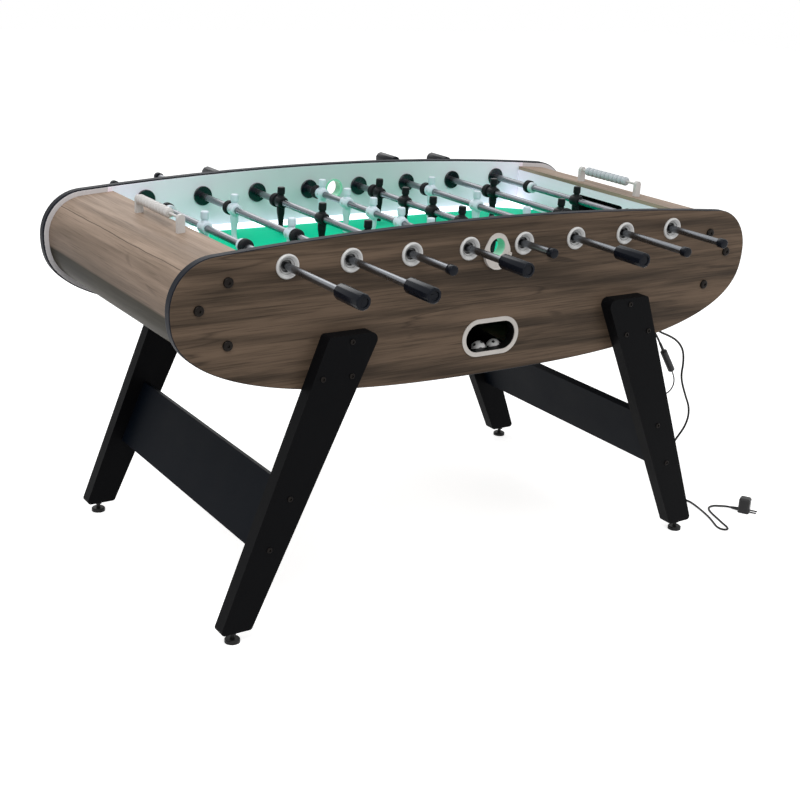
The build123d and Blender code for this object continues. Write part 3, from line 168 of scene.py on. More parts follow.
class Finish:
    """A material under construction, with short ways to add its nodes."""

    def __init__(self, name, base, roughness, metallic=0.0, specular=0.5):
        self.material = bpy.data.materials.new(name)
        self.material.use_nodes = True
        self.tree = self.material.node_tree
        self.shader = self.tree.nodes["Principled BSDF"]
        self.shader.inputs["Base Color"].default_value = (*base, 1)
        self.shader.inputs["Roughness"].default_value = roughness
        self.shader.inputs["Metallic"].default_value = metallic
        self.shader.inputs["Specular IOR Level"].default_value = specular
        self.place = self.add("ShaderNodeTexCoord").outputs["Object"]

    def add(self, kind, **values):
        """A new node with the given properties."""
        node = self.tree.nodes.new(kind)
        for key, value in values.items():
            setattr(node, key, value)
        return node

    def join(self, source, target):
        """Link a socket to a target, or set the target's value."""
        if isinstance(source, bpy.types.NodeSocket):
            self.tree.links.new(source, target)
        else:
            target.default_value = source

    def stretched(self, *scale):
        """Object coordinates scaled by these amounts per metre."""
        mapping = self.add("ShaderNodeMapping")
        mapping.inputs["Scale"].default_value = scale
        self.join(self.place, mapping.inputs["Vector"])
        return mapping.outputs["Vector"]

    def noise(self, vector, scale=1.0, detail=4.0, rough=0.5, distortion=0.0):
        """A noise pattern on a vector."""
        node = self.add("ShaderNodeTexNoise")
        self.join(vector, node.inputs["Vector"])
        self.join(scale, node.inputs["Scale"])
        self.join(detail, node.inputs["Detail"])
        self.join(rough, node.inputs["Roughness"])
        self.join(distortion, node.inputs["Distortion"])
        return node.outputs["Fac"]

    def wave(self, vector, scale, direction, distortion=0.0, detail=2.0, detail_scale=1.0):
        """Soft bands across a direction."""
        node = self.add("ShaderNodeTexWave", wave_type="BANDS", bands_direction=direction, wave_profile="SIN")
        self.join(vector, node.inputs["Vector"])
        self.join(scale, node.inputs["Scale"])
        self.join(distortion, node.inputs["Distortion"])
        self.join(detail, node.inputs["Detail"])
        self.join(detail_scale, node.inputs["Detail Scale"])
        return node.outputs["Fac"]

    def ramp(self, factor, *stops):
        """A colour ramp from (position, colour or grey) stops."""
        node = self.add("ShaderNodeValToRGB")
        self.join(factor, node.inputs["Fac"])
        elements = node.color_ramp.elements
        while len(elements) < len(stops):
            elements.new(0.5)
        for element, (position, tone) in zip(elements, stops):
            element.position = position
            element.color = (*tone, 1) if hasattr(tone, "__len__") else (tone, tone, tone, 1)
        return node.outputs["Color"]

    def mix(self, factor, first, second, blend="MIX"):
        """Two colours mixed by a factor; a colour is a socket or red, green and blue."""
        node = self.add("ShaderNodeMix", data_type="RGBA", blend_type=blend)
        colour_sockets = [socket for socket in node.inputs if socket.type == "RGBA"]
        self.join(factor, node.inputs[0])
        for source, socket in zip((first, second), colour_sockets):
            self.join(source if isinstance(source, bpy.types.NodeSocket) else (*source, 1), socket)
        return next(socket for socket in node.outputs if socket.type == "RGBA")

    def calculate(self, operation, *values):
        """One step of arithmetic on sockets or numbers."""
        node = self.add("ShaderNodeMath", operation=operation)
        for value, socket in zip(values, node.inputs):
            self.join(value, socket)
        return node.outputs[0]

    def between(self, source, low=0.0, high=1.0, to_low=0.0, to_high=1.0):
        """A value that goes from to_low to to_high while its source goes from low to high."""
        spread = self.add("ShaderNodeMapRange")
        self.join(source, spread.inputs["Value"])
        self.join(low, spread.inputs["From Min"])
        self.join(high, spread.inputs["From Max"])
        self.join(to_low, spread.inputs["To Min"])
        self.join(to_high, spread.inputs["To Max"])
        return spread.outputs["Result"]

    def axis(self, letter):
        """One object coordinate."""
        split = self.add("ShaderNodeSeparateXYZ")
        self.join(self.place, split.inputs[0])
        return split.outputs[letter]

    def off_middle(self, letter):
        """Distance from the table's middle along X or Y."""
        return self.calculate("ABSOLUTE", self.axis(letter))

    def paint(self, source):
        """Set what colours the surface."""
        self.join(source, self.shader.inputs["Base Color"])

    def gloss(self, factor, low, high):
        """Roughness between two values by a factor."""
        self.join(self.between(factor, to_low=low, to_high=high), self.shader.inputs["Roughness"])

    def relief(self, height, depth, strength=1.0):
        """Bump of a given depth in metres."""
        bump = self.add("ShaderNodeBump")
        self.join(depth, bump.inputs["Distance"])
        self.join(strength, bump.inputs["Strength"])
        self.join(height, bump.inputs["Height"])
        self.join(bump.outputs["Normal"], self.shader.inputs["Normal"])


def moulded(name, base, roughness, grain=900.0, specular=0.5):
    """Moulded plastic or rubber: a fine grain, and faint variation of tone and gloss."""
    finish = Finish(name, base, roughness, specular=specular)
    broad = finish.noise(finish.place, scale=24, detail=5)
    fine = finish.noise(finish.place, scale=grain, detail=2)
    lighter = [min(1, part * 1.16 + 0.006) for part in base]
    finish.paint(finish.mix(broad, [part * 0.88 for part in base], lighter))
    finish.gloss(broad, roughness - 0.06, roughness + 0.08)
    finish.relief(fine, 0.00004)
    return finish


def brushed(name, base, roughness, scale, depth=0.00002):
    """Metal with fine lines across the given directions."""
    finish = Finish(name, base, roughness, metallic=1.0)
    lines = finish.noise(finish.stretched(*scale), detail=3, rough=0.6)
    cloud = finish.noise(finish.place, scale=18, detail=4)
    finish.paint(finish.mix(cloud, [part * 0.82 for part in base], base))
    finish.gloss(cloud, roughness - 0.07, roughness + 0.10)
    finish.relief(lines, depth)
    return finish


def wood_tones(finish, light, dark, direction, figured=0.8, cracked=0.75):
    """Rustic oak grain in a direction, with the strength of its wide dark bands and of its cracks."""

    def grain(lengthwise, crosswise):
        """Object coordinates scaled by these amounts with the grain and across it."""
        return finish.stretched(*(a * lengthwise + b * crosswise for a, b in zip(*direction)))

    # Tone, from broad cloud, streaks and fine fibres
    broad = finish.noise(grain(1.3, 15), detail=4, rough=0.5, distortion=0.7)
    streaks = finish.noise(grain(2.6, 62), detail=6, rough=0.62, distortion=0.45)
    fine = finish.noise(grain(7, 330), detail=3, rough=0.7)
    tone = 0.0
    for part, share in ((broad, 0.42), (streaks, 0.38), (fine, 0.20)):
        tone = finish.calculate("ADD", tone, finish.calculate("MULTIPLY", part, share))
    middle = [(a + b) / 2 for a, b in zip(light, dark)]
    pale = [part * 1.3 for part in light]
    base = finish.ramp(tone, (0.36, dark), (0.46, middle), (0.54, light), (0.66, pale))
    # Wide dark bands
    figure = finish.wave(grain(0.45, 5.2), 1.0, "DIAGONAL", distortion=7.0, detail=3.0, detail_scale=0.9)
    line = finish.ramp(figure, (0.0, 0.50), (0.10, 0.72), (0.30, 1.0))
    base = finish.mix(figured, base, line, "MULTIPLY")
    # Knots
    knots = finish.noise(grain(3.2, 13), detail=1, distortion=1.6)
    knot = finish.ramp(knots, (0.20, 0.35), (0.29, 1.0))
    base = finish.mix(0.8, base, knot, "MULTIPLY")
    # Cracks that come and go, then open pores
    split = finish.noise(grain(0.9, 16), detail=3, rough=0.45, distortion=0.2)
    split = finish.calculate("ABSOLUTE", finish.calculate("SUBTRACT", split, 0.5))
    crack = finish.ramp(split, (0.0, 0.0), (0.012, 1.0))
    torn = finish.ramp(finish.noise(grain(2.0, 6), detail=2), (0.50, 1.0), (0.60, 0.35))
    base = finish.mix(cracked, base, finish.mix(torn, crack, (1.0, 1.0, 1.0)), "MULTIPLY")
    pore = finish.ramp(fine, (0.30, 0.60), (0.42, 1.0))
    base = finish.mix(0.6, base, pore, "MULTIPLY")
    finish.gloss(streaks, 0.60, 0.44)
    finish.relief(fine, 0.00012, 0.6)
    return base


def panel_laminate(colours):
    """Side panels: oak outside, white inside with painted green light from the field that fades towards the
    ends, and a dark band round the edge.
    """
    finish = Finish("side_panel_laminate", colours.wood_light, 0.5, specular=0.12)
    wood = wood_tones(finish, colours.wood_light, colours.wood_dark, GRAIN_ALONG_X)
    depth, along = finish.off_middle("Y"), finish.off_middle("X")
    outside = finish.calculate("GREATER_THAN", depth, OUTER_FACE - LAMINATE)
    inside = finish.calculate("LESS_THAN", depth, INNER_FACE + LAMINATE)
    coloured = finish.mix(outside, colours.edge_band, wood)
    # Painted light: the field's green light on the inner faces fades to the end walls' white towards the
    # ends.
    inner_light_fade = finish.between(along, INNER_LIGHT_FADE_START, COVER_LOW_X)
    white = finish.mix(inner_light_fade, colours.wall_field_lit, colours.end_white)
    beyond = finish.calculate("GREATER_THAN", along, COVER_LOW_X)
    white = finish.mix(beyond, white, colours.end_strip)
    finish.paint(finish.mix(inside, coloured, white))
    return finish


def cover_laminate(colours):
    """End covers: the side panels' oak painted lighter as painted light, with its grain across the table, a
    joint on the shoulder, painted shade towards the underside, and dark below.
    """
    finish = Finish("end_cover_laminate", colours.cover_light, 0.5, specular=0.07)
    wood = wood_tones(
        finish, colours.cover_light, colours.cover_dark, GRAIN_ALONG_Y, figured=0.3, cracked=0.12
    )
    height = finish.axis("Z")
    waver = finish.calculate("MULTIPLY", finish.noise(finish.stretched(3, 8, 3), detail=3), 0.006)
    joint = finish.calculate("ADD", height, waver)
    joint = finish.calculate("COMPARE", joint, COVER_JOINT_Z, JOINT_HALF_WIDTH)
    wood = finish.mix(finish.calculate("MULTIPLY", joint, 0.62), wood, colours.cover_under)
    # Painted shade: the cover darkens from its shoulder joint down to 0.62 of its tone at the underside line.
    painted_shade = finish.between(height, COVER_UNDER_Z, COVER_JOINT_Z, to_low=0.62)
    wood = finish.mix(1.0, wood, painted_shade, "MULTIPLY")
    under_light = [part * 1.5 for part in colours.cover_under]
    under = wood_tones(finish, under_light, colours.cover_under, GRAIN_ALONG_Y)
    below = finish.between(height, COVER_UNDER_Z + UNDER_BLEND, COVER_UNDER_Z - UNDER_BLEND)
    finish.paint(finish.mix(below, wood, under))
    return finish


def white_board(colours):
    """Satin white board with a faint unevenness."""
    finish = Finish("white_board", colours.end_white, 0.42)
    cloud = finish.noise(finish.place, scale=7, detail=4)
    finish.paint(finish.mix(cloud, [part * 0.93 for part in colours.end_white], colours.end_white))
    finish.gloss(cloud, 0.36, 0.50)
    finish.relief(finish.noise(finish.place, scale=420, detail=2), 0.00003)
    return finish


def field_board(colours):
    """Printed green board under a satin coat."""
    finish = Finish("field_board", colours.field_green, 0.4, specular=0.01)
    cloud = finish.noise(finish.place, scale=5, detail=5)
    speck = finish.noise(finish.place, scale=700, detail=2)
    green = finish.mix(cloud, [part * 0.90 for part in colours.field_green], colours.field_green)
    finish.paint(finish.mix(0.12, green, finish.ramp(speck, (0.3, 0.4), (0.7, 1.0)), "MULTIPLY"))
    finish.gloss(cloud, 0.34, 0.48)
    finish.relief(speck, 0.00003)
    return finish


def lit_ramp(colours):
    """Milky plastic, lit from below by a row of lamps."""
    finish = Finish("lit_ramp", colours.ramp_white, 0.4)
    lamps = finish.wave(finish.place, 9.5, "X")  # a lamp every 33 mm
    glow = finish.ramp(lamps, (0.0, (0.58, 0.72, 0.90)), (1.0, (0.80, 0.92, 1.0)))
    finish.join(glow, finish.shader.inputs["Emission Color"])
    finish.join(RAMP_GLOW, finish.shader.inputs["Emission Strength"])
    finish.relief(finish.noise(finish.place, scale=500, detail=2), 0.00003)
    return finish


def lacquered(name, base, roughness):
    """Black lacquer on board, with orange peel, faint dust and scuffs."""
    finish = Finish(name, base, roughness, specular=0.035)
    dust = finish.noise(finish.place, scale=9, detail=7, rough=0.65)
    scuffs = finish.noise(finish.stretched(60, 60, 9), detail=4, rough=0.7, distortion=1.0)
    worn = finish.ramp(scuffs, (0.66, 0.0), (0.76, 1.0))
    dusty = finish.mix(dust, base, [part * 1.6 + 0.0008 for part in base])
    finish.paint(finish.mix(finish.calculate("MULTIPLY", worn, 0.25), dusty, (0.016, 0.016, 0.017)))
    finish.gloss(dust, roughness - 0.08, roughness + 0.12)
    finish.relief(finish.noise(finish.place, scale=320, detail=3), 0.00008)
    return finish


def raw_board():
    """Uncoated board with coarse grain."""
    finish = Finish("raw_board", (0.36, 0.27, 0.18), 0.75)
    finish.paint(wood_tones(finish, (0.42, 0.31, 0.20), (0.24, 0.17, 0.11), GRAIN_ALONG_X))
    return finish


def rosette_plastic(colours):
    """Rod bushings: satin grey rosettes outside with painted shade down their throats, and black lock rings
    inside the cabinet.
    """
    finish = Finish("rod_bushing_plastic", colours.rosette_grey, 0.22)
    cloud = finish.noise(finish.place, scale=60, detail=4)
    grey = finish.mix(cloud, [part * 0.85 for part in colours.rosette_grey], colours.rosette_grey)
    depth = finish.off_middle("Y")
    painted_throat_shade = finish.calculate("LESS_THAN", depth, ROSETTE_DISH)
    inside = finish.calculate("LESS_THAN", depth, INNER_FACE + INSET)
    # Painted shade: past its dish, the throat of each bushing is painted near-black.
    grey = finish.mix(painted_throat_shade, grey, (0.06, 0.06, 0.06))
    finish.paint(finish.mix(inside, grey, colours.grip_black))
    finish.gloss(cloud, 0.14, 0.26)
    finish.relief(finish.noise(finish.place, scale=700, detail=2), 0.00003)
    return finish


def trim_plastic(colours):
    """White trims, with painted shadow inside the return window and painted green light from the field inside
    the serve tunnels.
    """
    finish = moulded("trim_plastic", colours.trim_white, 0.34, specular=0.35)
    painted = finish.shader.inputs["Base Color"].links[0].from_socket
    inner = finish.calculate("LESS_THAN", finish.off_middle("Y"), OUTER_FACE - INSET)
    low = finish.calculate("LESS_THAN", finish.axis("Z"), FIELD_Z)
    # Painted light and shade: inside the outer face, the trims are painted with the field's green light above
    # the field and near-black shadow below it.
    field_light, shadow = (0.28, 0.72, 0.50), (0.004, 0.004, 0.004)
    finish.paint(finish.mix(inner, painted, finish.mix(low, field_light, shadow)))
    return finish


# -------------------- shared modelling
def coat(piece, finish, body):
    """Give a new piece its material and its body."""
    piece.data.materials.append(finish.material)
    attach(piece, body)
    return piece


def finish_nodes(finish, *names):
    """Give carried-over CAD nodes their material."""
    for name in names:
        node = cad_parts[name]
        node.data.materials.clear()
        node.data.materials.append(finish.material)


def piece_from(bm, name, smooth=40):
    """Turn a bmesh into an object at the origin, smooth up to the given angle in degrees."""
    bmesh.ops.remove_doubles(bm, verts=bm.verts, dist=1e-6)
    bmesh.ops.recalc_face_normals(bm, faces=bm.faces)
    mesh = bpy.data.meshes.new(name)
    limit = math.radians(smooth)
    for face in bm.faces:
        face.smooth = True
    for edge in bm.edges:
        edge.smooth = edge.calc_face_angle(0) < limit
    bm.to_mesh(mesh)
    bm.free()
    piece = bpy.data.objects.new(name, mesh)
    bpy.context.scene.collection.objects.link(piece)
    return piece


def spun(bm, profile, centre, steps=40):
    """A closed ring of (radius, y) points, spun about the line along Y through centre."""
    verts = [bm.verts.new(centre + Vector((radius, y, 0))) for radius, y in profile]
    edges = [bm.edges.new(pair) for pair in zip(verts, verts[1:] + verts[:1])]
    bmesh.ops.spin(
        bm, geom=verts + edges, cent=centre, axis=(0, 1, 0), angle=2 * math.pi, steps=steps, use_merge=True
    )


def both_halves(points, middle):
    """A profile from one half's (radius, y) points, the point in the middle, and the same half mirrored."""
    return [*points, middle, *((radius, -y) for radius, y in reversed(points))]


# -------------------- places on the rods
def rod_axis(team, kind):
    """A point on the rod's axis, at the middle of its men."""
    low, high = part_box(f"{team}_{kind}_rod")
    men_low, men_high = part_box(f"{team}_{kind}_men")
    return Vector(((low.x + high.x) / 2, (men_low.y + men_high.y) / 2, (low.z + high.z) / 2))


# -------------------- players
# Rings of a player from the sole to the crown, in millimetres from the rod's axis:
# height, half width along the rod, half depth and how far forward.
FIGURE_RINGS = (
    (-73.1, 10.1, 6.0, 0.0),
    (-72.6, 10.9, 6.8, 0.0),
    (-66.5, 10.9, 6.8, 0.0),
    (-65.0, 10.2, 6.4, -0.1),
    (-61.0, 8.3, 5.7, -0.4),
    (-54.0, 7.6, 5.6, -0.6),
    (-45.0, 8.5, 6.8, -0.4),
    (-36.0, 9.5, 8.0, 0.0),
    (-31.0, 9.9, 8.7, 0.0),
    (-30.4, 10.5, 9.3, 0.0),
    (-20.0, 10.7, 10.2, 0.0),
    (-12.0, 11.0, 10.3, 0.0),
    (-3.0, 12.2, 10.0, 0.0),
    (6.0, 13.8, 9.4, 0.0),
    (11.5, 14.8, 8.8, 0.0),
    (14.0, 13.4, 7.8, 0.0),
    (15.2, 9.4, 7.2, 0.0),
    (16.0, 8.0, 7.4, 0.0),
    (18.6, 7.8, 7.6, 0.1),
    (19.4, 9.4, 9.2, 0.2),
    (20.6, 9.8, 9.6, 0.2),
    (28.0, 9.7, 9.7, 0.0),
    (34.6, 9.6, 9.5, -0.1),
    (36.4, 9.0, 8.9, -0.1),
    (37.0, 6.4, 6.4, -0.1),
)


def men_places(team, kind, hub_length):
    """The middle of each man's hub."""
    low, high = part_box(f"{team}_{kind}_men")
    axis = rod_axis(team, kind)
    count = MEN_PER_ROD[kind]
    first, last = low.y + hub_length / 2, high.y - hub_length / 2
    gap = (last - first) / max(1, count - 1)
    across = [first + number * gap for number in range(count)] if count > 1 else [axis.y]
    return [Vector((axis.x, y, axis.z)) for y in across]


def size_ring(bm, verts, ring, facing):
    """Give a horizontal ring of verts the height, width, depth and forward place of a figure's ring."""
    height, half_width, half_depth, forward = (value * MILLIMETRE for value in ring)
    centre = sum((vert.co for vert in verts), Vector()) / len(verts)
    reach_x = max(abs(vert.co.x - centre.x) for vert in verts)
    reach_y = max(abs(vert.co.y - centre.y) for vert in verts)
    bmesh.ops.translate(bm, verts=verts, vec=-centre)
    bmesh.ops.scale(bm, verts=verts, vec=(half_depth / reach_x, half_width / reach_y, 1))
    bmesh.ops.translate(bm, verts=verts, vec=(forward * facing, 0, height))


def raise_ring(bm, face, ring, facing):
    """Extrude a horizontal face to a figure's next ring. The face itself stays below."""
    grown = bmesh.ops.extrude_face_region(bm, geom=[face])["geom"]
    size_ring(bm, [item for item in grown if isinstance(item, bmesh.types.BMVert)], ring, facing)
    return next(item for item in grown if isinstance(item, bmesh.types.BMFace))


def add_figure(bm, place, facing):
    """One player's body, standing feet down at a place on its rod and facing along X."""
    turn = Matrix.Rotation(math.pi / 8, 4, "Z")
    sole = bmesh.ops.create_circle(bm, cap_ends=True, segments=8, radius=1, matrix=turn)["verts"]
    start = len(bm.verts) - len(sole)
    size_ring(bm, sole, FIGURE_RINGS[0], facing)
    face = raise_ring(bm, sole[0].link_faces[0], FIGURE_RINGS[1], facing)
    for ring in FIGURE_RINGS[2:]:
        below = face
        face = raise_ring(bm, below, ring, facing)
        bmesh.ops.delete(bm, geom=[below], context="FACES_ONLY")
    bm.verts.ensure_lookup_table()
    bmesh.ops.translate(bm, verts=bm.verts[start:], vec=place)


def add_hub(bm, place, sizes):
    """The barrel by which a player is held on its rod."""
    half, radius = sizes.hub_length / 2 - HUB_GAP, sizes.hub_radius
    points = (
        (sizes.rod_radius, -half),
        (radius - 0.0030, -half),
        (radius - 0.0010, -half + 0.0008),
        (radius, -half + 0.0030),
    )
    spun(bm, both_halves(points, (radius + 0.0002, 0)), place, steps=36)


def add_screw(bm, place, radius, facing):
    """A pan-head screw in a player's back, with a hollow in its head."""
    turn = Matrix.Rotation(math.pi / 2 * -facing, 4, "Y")
    seat = Matrix.Translation(place + Vector((-facing * radius, 0, 0))) @ turn
    sides, thickness, hollow_rim, hollow_depth = 20, 0.0012, 0.0012, 0.0006
    made = bmesh.ops.create_cone(
        bm, cap_ends=True, segments=sides, radius1=0.0030, radius2=0.0022, depth=thickness, matrix=seat
    )
    ends = {face for vert in made["verts"] for face in vert.link_faces if len(face.verts) == sides}
    head = min(ends, key=lambda face: facing * face.calc_center_median().x)
    bmesh.ops.inset_region(bm, faces=[head], thickness=hollow_rim, depth=0)
    bmesh.ops.translate(bm, verts=head.verts, vec=(facing * hollow_depth, 0, 0))


class FOOSBALL_OT_men(bpy.types.Operator):
    """Model the players of both teams, their hubs and the screws that hold them"""

    bl_idname = "foosball.men"
    bl_label = "Players"

    def execute(self, context):
        sizes = context.scene.foosball_sizes
        colours = context.scene.foosball_finish
        finishes = {
            "white": moulded("white_player_plastic", colours.men_white, 0.36),
            "black": moulded("black_player_plastic", colours.men_black, 0.28, specular=0.10),
        }
        screw_steel = brushed("player_screw_steel", (0.42, 0.42, 0.43), 0.35, (400, 400, 400))
        for team, kind in RODS:
            facing = 1 if team == "white" else -1
            body = f"{team}_{kind}_players"
            figures, hubs, screws = bmesh.new(), bmesh.new(), bmesh.new()
            for place in men_places(team, kind, sizes.hub_length):
                add_figure(figures, place, facing)
                add_hub(hubs, place, sizes)
                add_screw(screws, place, sizes.hub_radius, facing)
            figure = coat(piece_from(figures, f"{team}_{kind}_figures", 180), finishes[team], body)
            smoothing = figure.modifiers.new("Rounding", "SUBSURF")
            smoothing.levels = smoothing.render_levels = 2
            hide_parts(f"{team}_{kind}_men")
            coat(piece_from(hubs, f"{team}_{kind}_hubs"), finishes[team], body)
            coat(piece_from(screws, f"{team}_{kind}_screws", 30), screw_steel, body)
        return {"FINISHED"}


# -------------------- handles and end caps
def handle_ends(bm, sides):
    """The faces across the two ends of a handle."""
    return [face for face in bm.faces if abs(face.normal.y) > 0.99 and len(face.verts) >= sides]


def ease_edges(bm, edges, offset):
    """Round edges off, in three steps."""
    bmesh.ops.bevel(bm, geom=edges, offset=offset, segments=3, profile=0.5, affect="EDGES", material=-1)


def add_grip(bm, middle, sizes):
    """A faceted handle with softened corners and a shallow disc in each end."""
    turn = Matrix.Translation(middle) @ Matrix.Rotation(math.pi / 2, 4, "X")
    bmesh.ops.create_cone(
        bm, cap_ends=True, segments=sizes.grip_sides, radius1=sizes.grip_radius, radius2=sizes.grip_radius,
        depth=sizes.grip_length, matrix=turn,
    )
    bm.normal_update()
    corner_round, rim_round = 0.0016, 0.0034
    disc_rim, disc_wall, disc_depth = 0.0026, 0.0006, 0.0022
    rims = {edge for face in handle_ends(bm, sizes.grip_sides) for edge in face.edges}
    ease_edges(bm, [edge for edge in bm.edges if edge not in rims], corner_round)
    rims = {edge for face in handle_ends(bm, sizes.grip_sides) for edge in face.edges}
    ease_edges(bm, list(rims), rim_round)
    for end in handle_ends(bm, sizes.grip_sides):
        bmesh.ops.inset_region(bm, faces=[end], thickness=disc_rim, depth=0)
        bmesh.ops.inset_region(bm, faces=[end], thickness=disc_wall, depth=-disc_depth)


def add_cap(bm, centre, inner, outer, sizes):
    """A rounded cap over a rod's plain end, between two places along Y."""
    out = 1 if outer > inner else -1
    radius, bore = sizes.cap_radius, sizes.rod_radius
    round_off, round_steps, pole = 0.003, 4, 0.0001
    rim_in, rim_along = 0.0006, 0.0008
    profile = [(bore, inner), (radius - rim_in, inner), (radius, inner + out * rim_along)]
    for number in range(round_steps + 1):
        angle = math.pi / 2 * number / round_steps
        reach = radius - round_off + round_off * math.cos(angle)
        profile.append((reach, outer - out * round_off * (1 - math.sin(angle))))
    profile += [(pole, outer), (pole, inner)]
    spun(bm, [(reach, y - centre.y) for reach, y in profile], centre, steps=36)


class FOOSBALL_OT_handles(bpy.types.Operator):
    """Model the handle and the end cap of every rod"""

    bl_idname = "foosball.handles"
    bl_label = "Handles and end caps"

    def execute(self, context):
        sizes = context.scene.foosball_sizes
        colours = context.scene.foosball_finish
        plastic = moulded("handle_plastic", colours.grip_black, 0.20, grain=520, specular=0.10)
        for team, kind in RODS:
            node = f"{team}_{kind}_grip_and_cap"
            low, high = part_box(node)
            axis = rod_axis(team, kind)
            side = -1 if team == "white" else 1
            handle_end, cap_end = (low.y, high.y) if side < 0 else (high.y, low.y)
            grips, caps = bmesh.new(), bmesh.new()
            add_grip(grips, Vector((axis.x, handle_end - side * sizes.grip_length / 2, axis.z)), sizes)
            add_cap(caps, axis, cap_end + side * sizes.cap_length, cap_end, sizes)
            body = f"{team}_{kind}_players"
            grip = coat(piece_from(grips, f"{team}_{kind}_handle", 24), plastic, body)
            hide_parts(node)
            coat(piece_from(caps, f"{team}_{kind}_end_cap"), plastic, body)
        return {"FINISHED"}


# -------------------- rods, bushings and bumpers
def spun_inwards(bm, depths, axis, outer, side):
    """Spin (radius, depth) points about a rod, with the depths measured inwards from an outer face."""
    spun(bm, [(radius, outer - axis.y - side * depth) for radius, depth in depths], axis)


def add_bumper(bm, axis, outer, side, sizes):
    """A rubber stop with rounded rims and a groove round its middle."""
    radius, length, bore = sizes.bumper_radius, sizes.bumper_length, sizes.rod_radius
    depths = (
        (bore, 0.0),
        (radius - 0.0042, 0.0),
        (radius - 0.0018, 0.0007),
        (radius - 0.0004, 0.0022),
        (radius, 0.0042),
        (radius, length / 2 - 0.0012),
        (radius - 0.0009, length / 2 - 0.0004),
        (radius - 0.0009, length / 2 + 0.0004),
        (radius, length / 2 + 0.0012),
        (radius, length - 0.0032),
        (radius - 0.0010, length - 0.0012),
        (radius - 0.0030, length),
        (bore, length),
    )
    spun_inwards(bm, depths, axis, outer, side)


def add_collar(bm, axis, outer, side, sizes):
    """A white collar with eased rims."""
    radius, length, bore = sizes.collar_radius, sizes.collar_length, sizes.rod_radius
    ease = 0.0012
    depths = (
        (bore, 0),
        (radius - ease, 0),
        (radius, ease),
        (radius, length - ease),
        (radius - ease, length),
        (bore, length),
    )
    spun_inwards(bm, depths, axis, outer, side)


class FOOSBALL_OT_rods(bpy.types.Operator):
    """Finish the steel rods and their bushings, and model the rubber bumpers and white collars"""

    bl_idname = "foosball.rods"
    bl_label = "Rods, bushings and bumpers"

    def execute(self, context):
        sizes = context.scene.foosball_sizes
        colours = context.scene.foosball_finish
        steel = brushed("rod_steel", (0.222, 0.234, 0.254), 0.27, (40, 500, 40), depth=0.000003)
        rubber = moulded("bumper_rubber", (0.007, 0.007, 0.009), 0.5, grain=600, specular=0.12)
        collar_plastic = moulded("collar_plastic", (0.62, 0.69, 0.74), 0.38)
        finish_nodes(rosette_plastic(colours), "rod_bushings")
        for team, kind in RODS:
            finish_nodes(steel, f"{team}_{kind}_rod")
            node = f"{team}_{kind}_bumpers"
            low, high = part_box(node)
            axis = rod_axis(team, kind)
            stops, collars = bmesh.new(), bmesh.new()
            for outer, side in ((low.y, -1), (high.y, 1)):
                add_bumper(stops, axis, outer, side, sizes)
                if kind == "goal":
                    beside = outer - side * (sizes.bumper_length + COLLAR_GAP)
                    add_collar(collars, axis, beside, side, sizes)
            body = f"{team}_{kind}_stops"
            stop = coat(piece_from(stops, f"{team}_{kind}_stop_rings"), rubber, body)
            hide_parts(node)
            if kind == "goal":
                coat(piece_from(collars, f"{team}_{kind}_collars"), collar_plastic, body)
            else:
                collars.free()
        return {"FINISHED"}


# -------------------- cabinet and playing field
class FOOSBALL_OT_cabinet(bpy.types.Operator):
    """Finish the side panels, end covers, inner walls, playing field, ramps and ball return"""

    bl_idname = "foosball.cabinet"
    bl_label = "Cabinet and playing field"

    def execute(self, context):
        colours = context.scene.foosball_finish
        finish_nodes(panel_laminate(colours), "near_side_panel", "far_side_panel")
        finish_nodes(cover_laminate(colours), "end_covers")
        finish_nodes(white_board(colours), "end_walls")
        finish_nodes(field_board(colours), "playfield")
        finish_nodes(lit_ramp(colours), "field_ramps", "led_strips")
        finish_nodes(raw_board(), "cabinet_bottom", "cabinet_cleats")
        finish_nodes(lacquered("ball_return_black", (0.010, 0.010, 0.011), 0.5), "ball_return")
        finish_nodes(trim_plastic(colours), "panel_trims")
        return {"FINISHED"}


# -------------------- balls
# How far each ball has rolled about X, Y and Z, in radians
BALL_TURNS = ((0.35, 0.2, 0.5), (-0.25, 0.42, 1.4))


def add_ball(bm, place, radius, rings):
    """A ball with twelve five-sided dark spots, set in a little."""
    made = bmesh.ops.create_icosphere(bm, subdivisions=5, radius=radius, matrix=place)
    spots = set()
    for centre in (vert for vert in made["verts"] if len(vert.link_edges) == 5):
        patch = set(centre.link_faces)
        for _ring in range(2 * rings - 1):
            corners = {vert for face in patch for vert in face.verts}
            patch = {face for vert in corners for face in vert.link_faces}
        spots |= patch
    for face in spots:
        face.material_index = 1
    sunk = radius * 0.012
    bmesh.ops.inset_region(bm, faces=list(spots), thickness=sunk, depth=-sunk, use_even_offset=True)


class FOOSBALL_OT_balls(bpy.types.Operator):
    """Model the two spotted balls that wait in the return"""

    bl_idname = "foosball.balls"
    bl_label = "Balls"

    def execute(self, context):
        low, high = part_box("balls")
        radius = (high.z - low.z) / 2
        bm = bmesh.new()
        for x, angles in zip((low.x + radius, high.x - radius), BALL_TURNS):
            turns = [Matrix.Rotation(angle, 4, axis) for angle, axis in zip(angles, "XYZ")]
            place = Matrix.Translation((x, low.y + radius, low.z + radius)) @ (turns[0] @ turns[1] @ turns[2])
            add_ball(bm, place, radius, context.scene.foosball_sizes.spot_rings)
        spotted = moulded("ball_plastic", (0.72, 0.72, 0.71), 0.35)
        balls = coat(piece_from(bm, "spotted_balls", 50), spotted, "ball_pair")
        balls.data.materials.append(moulded("ball_spot_plastic", (0.012, 0.012, 0.013), 0.4).material)
        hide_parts("balls")
        return {"FINISHED"}


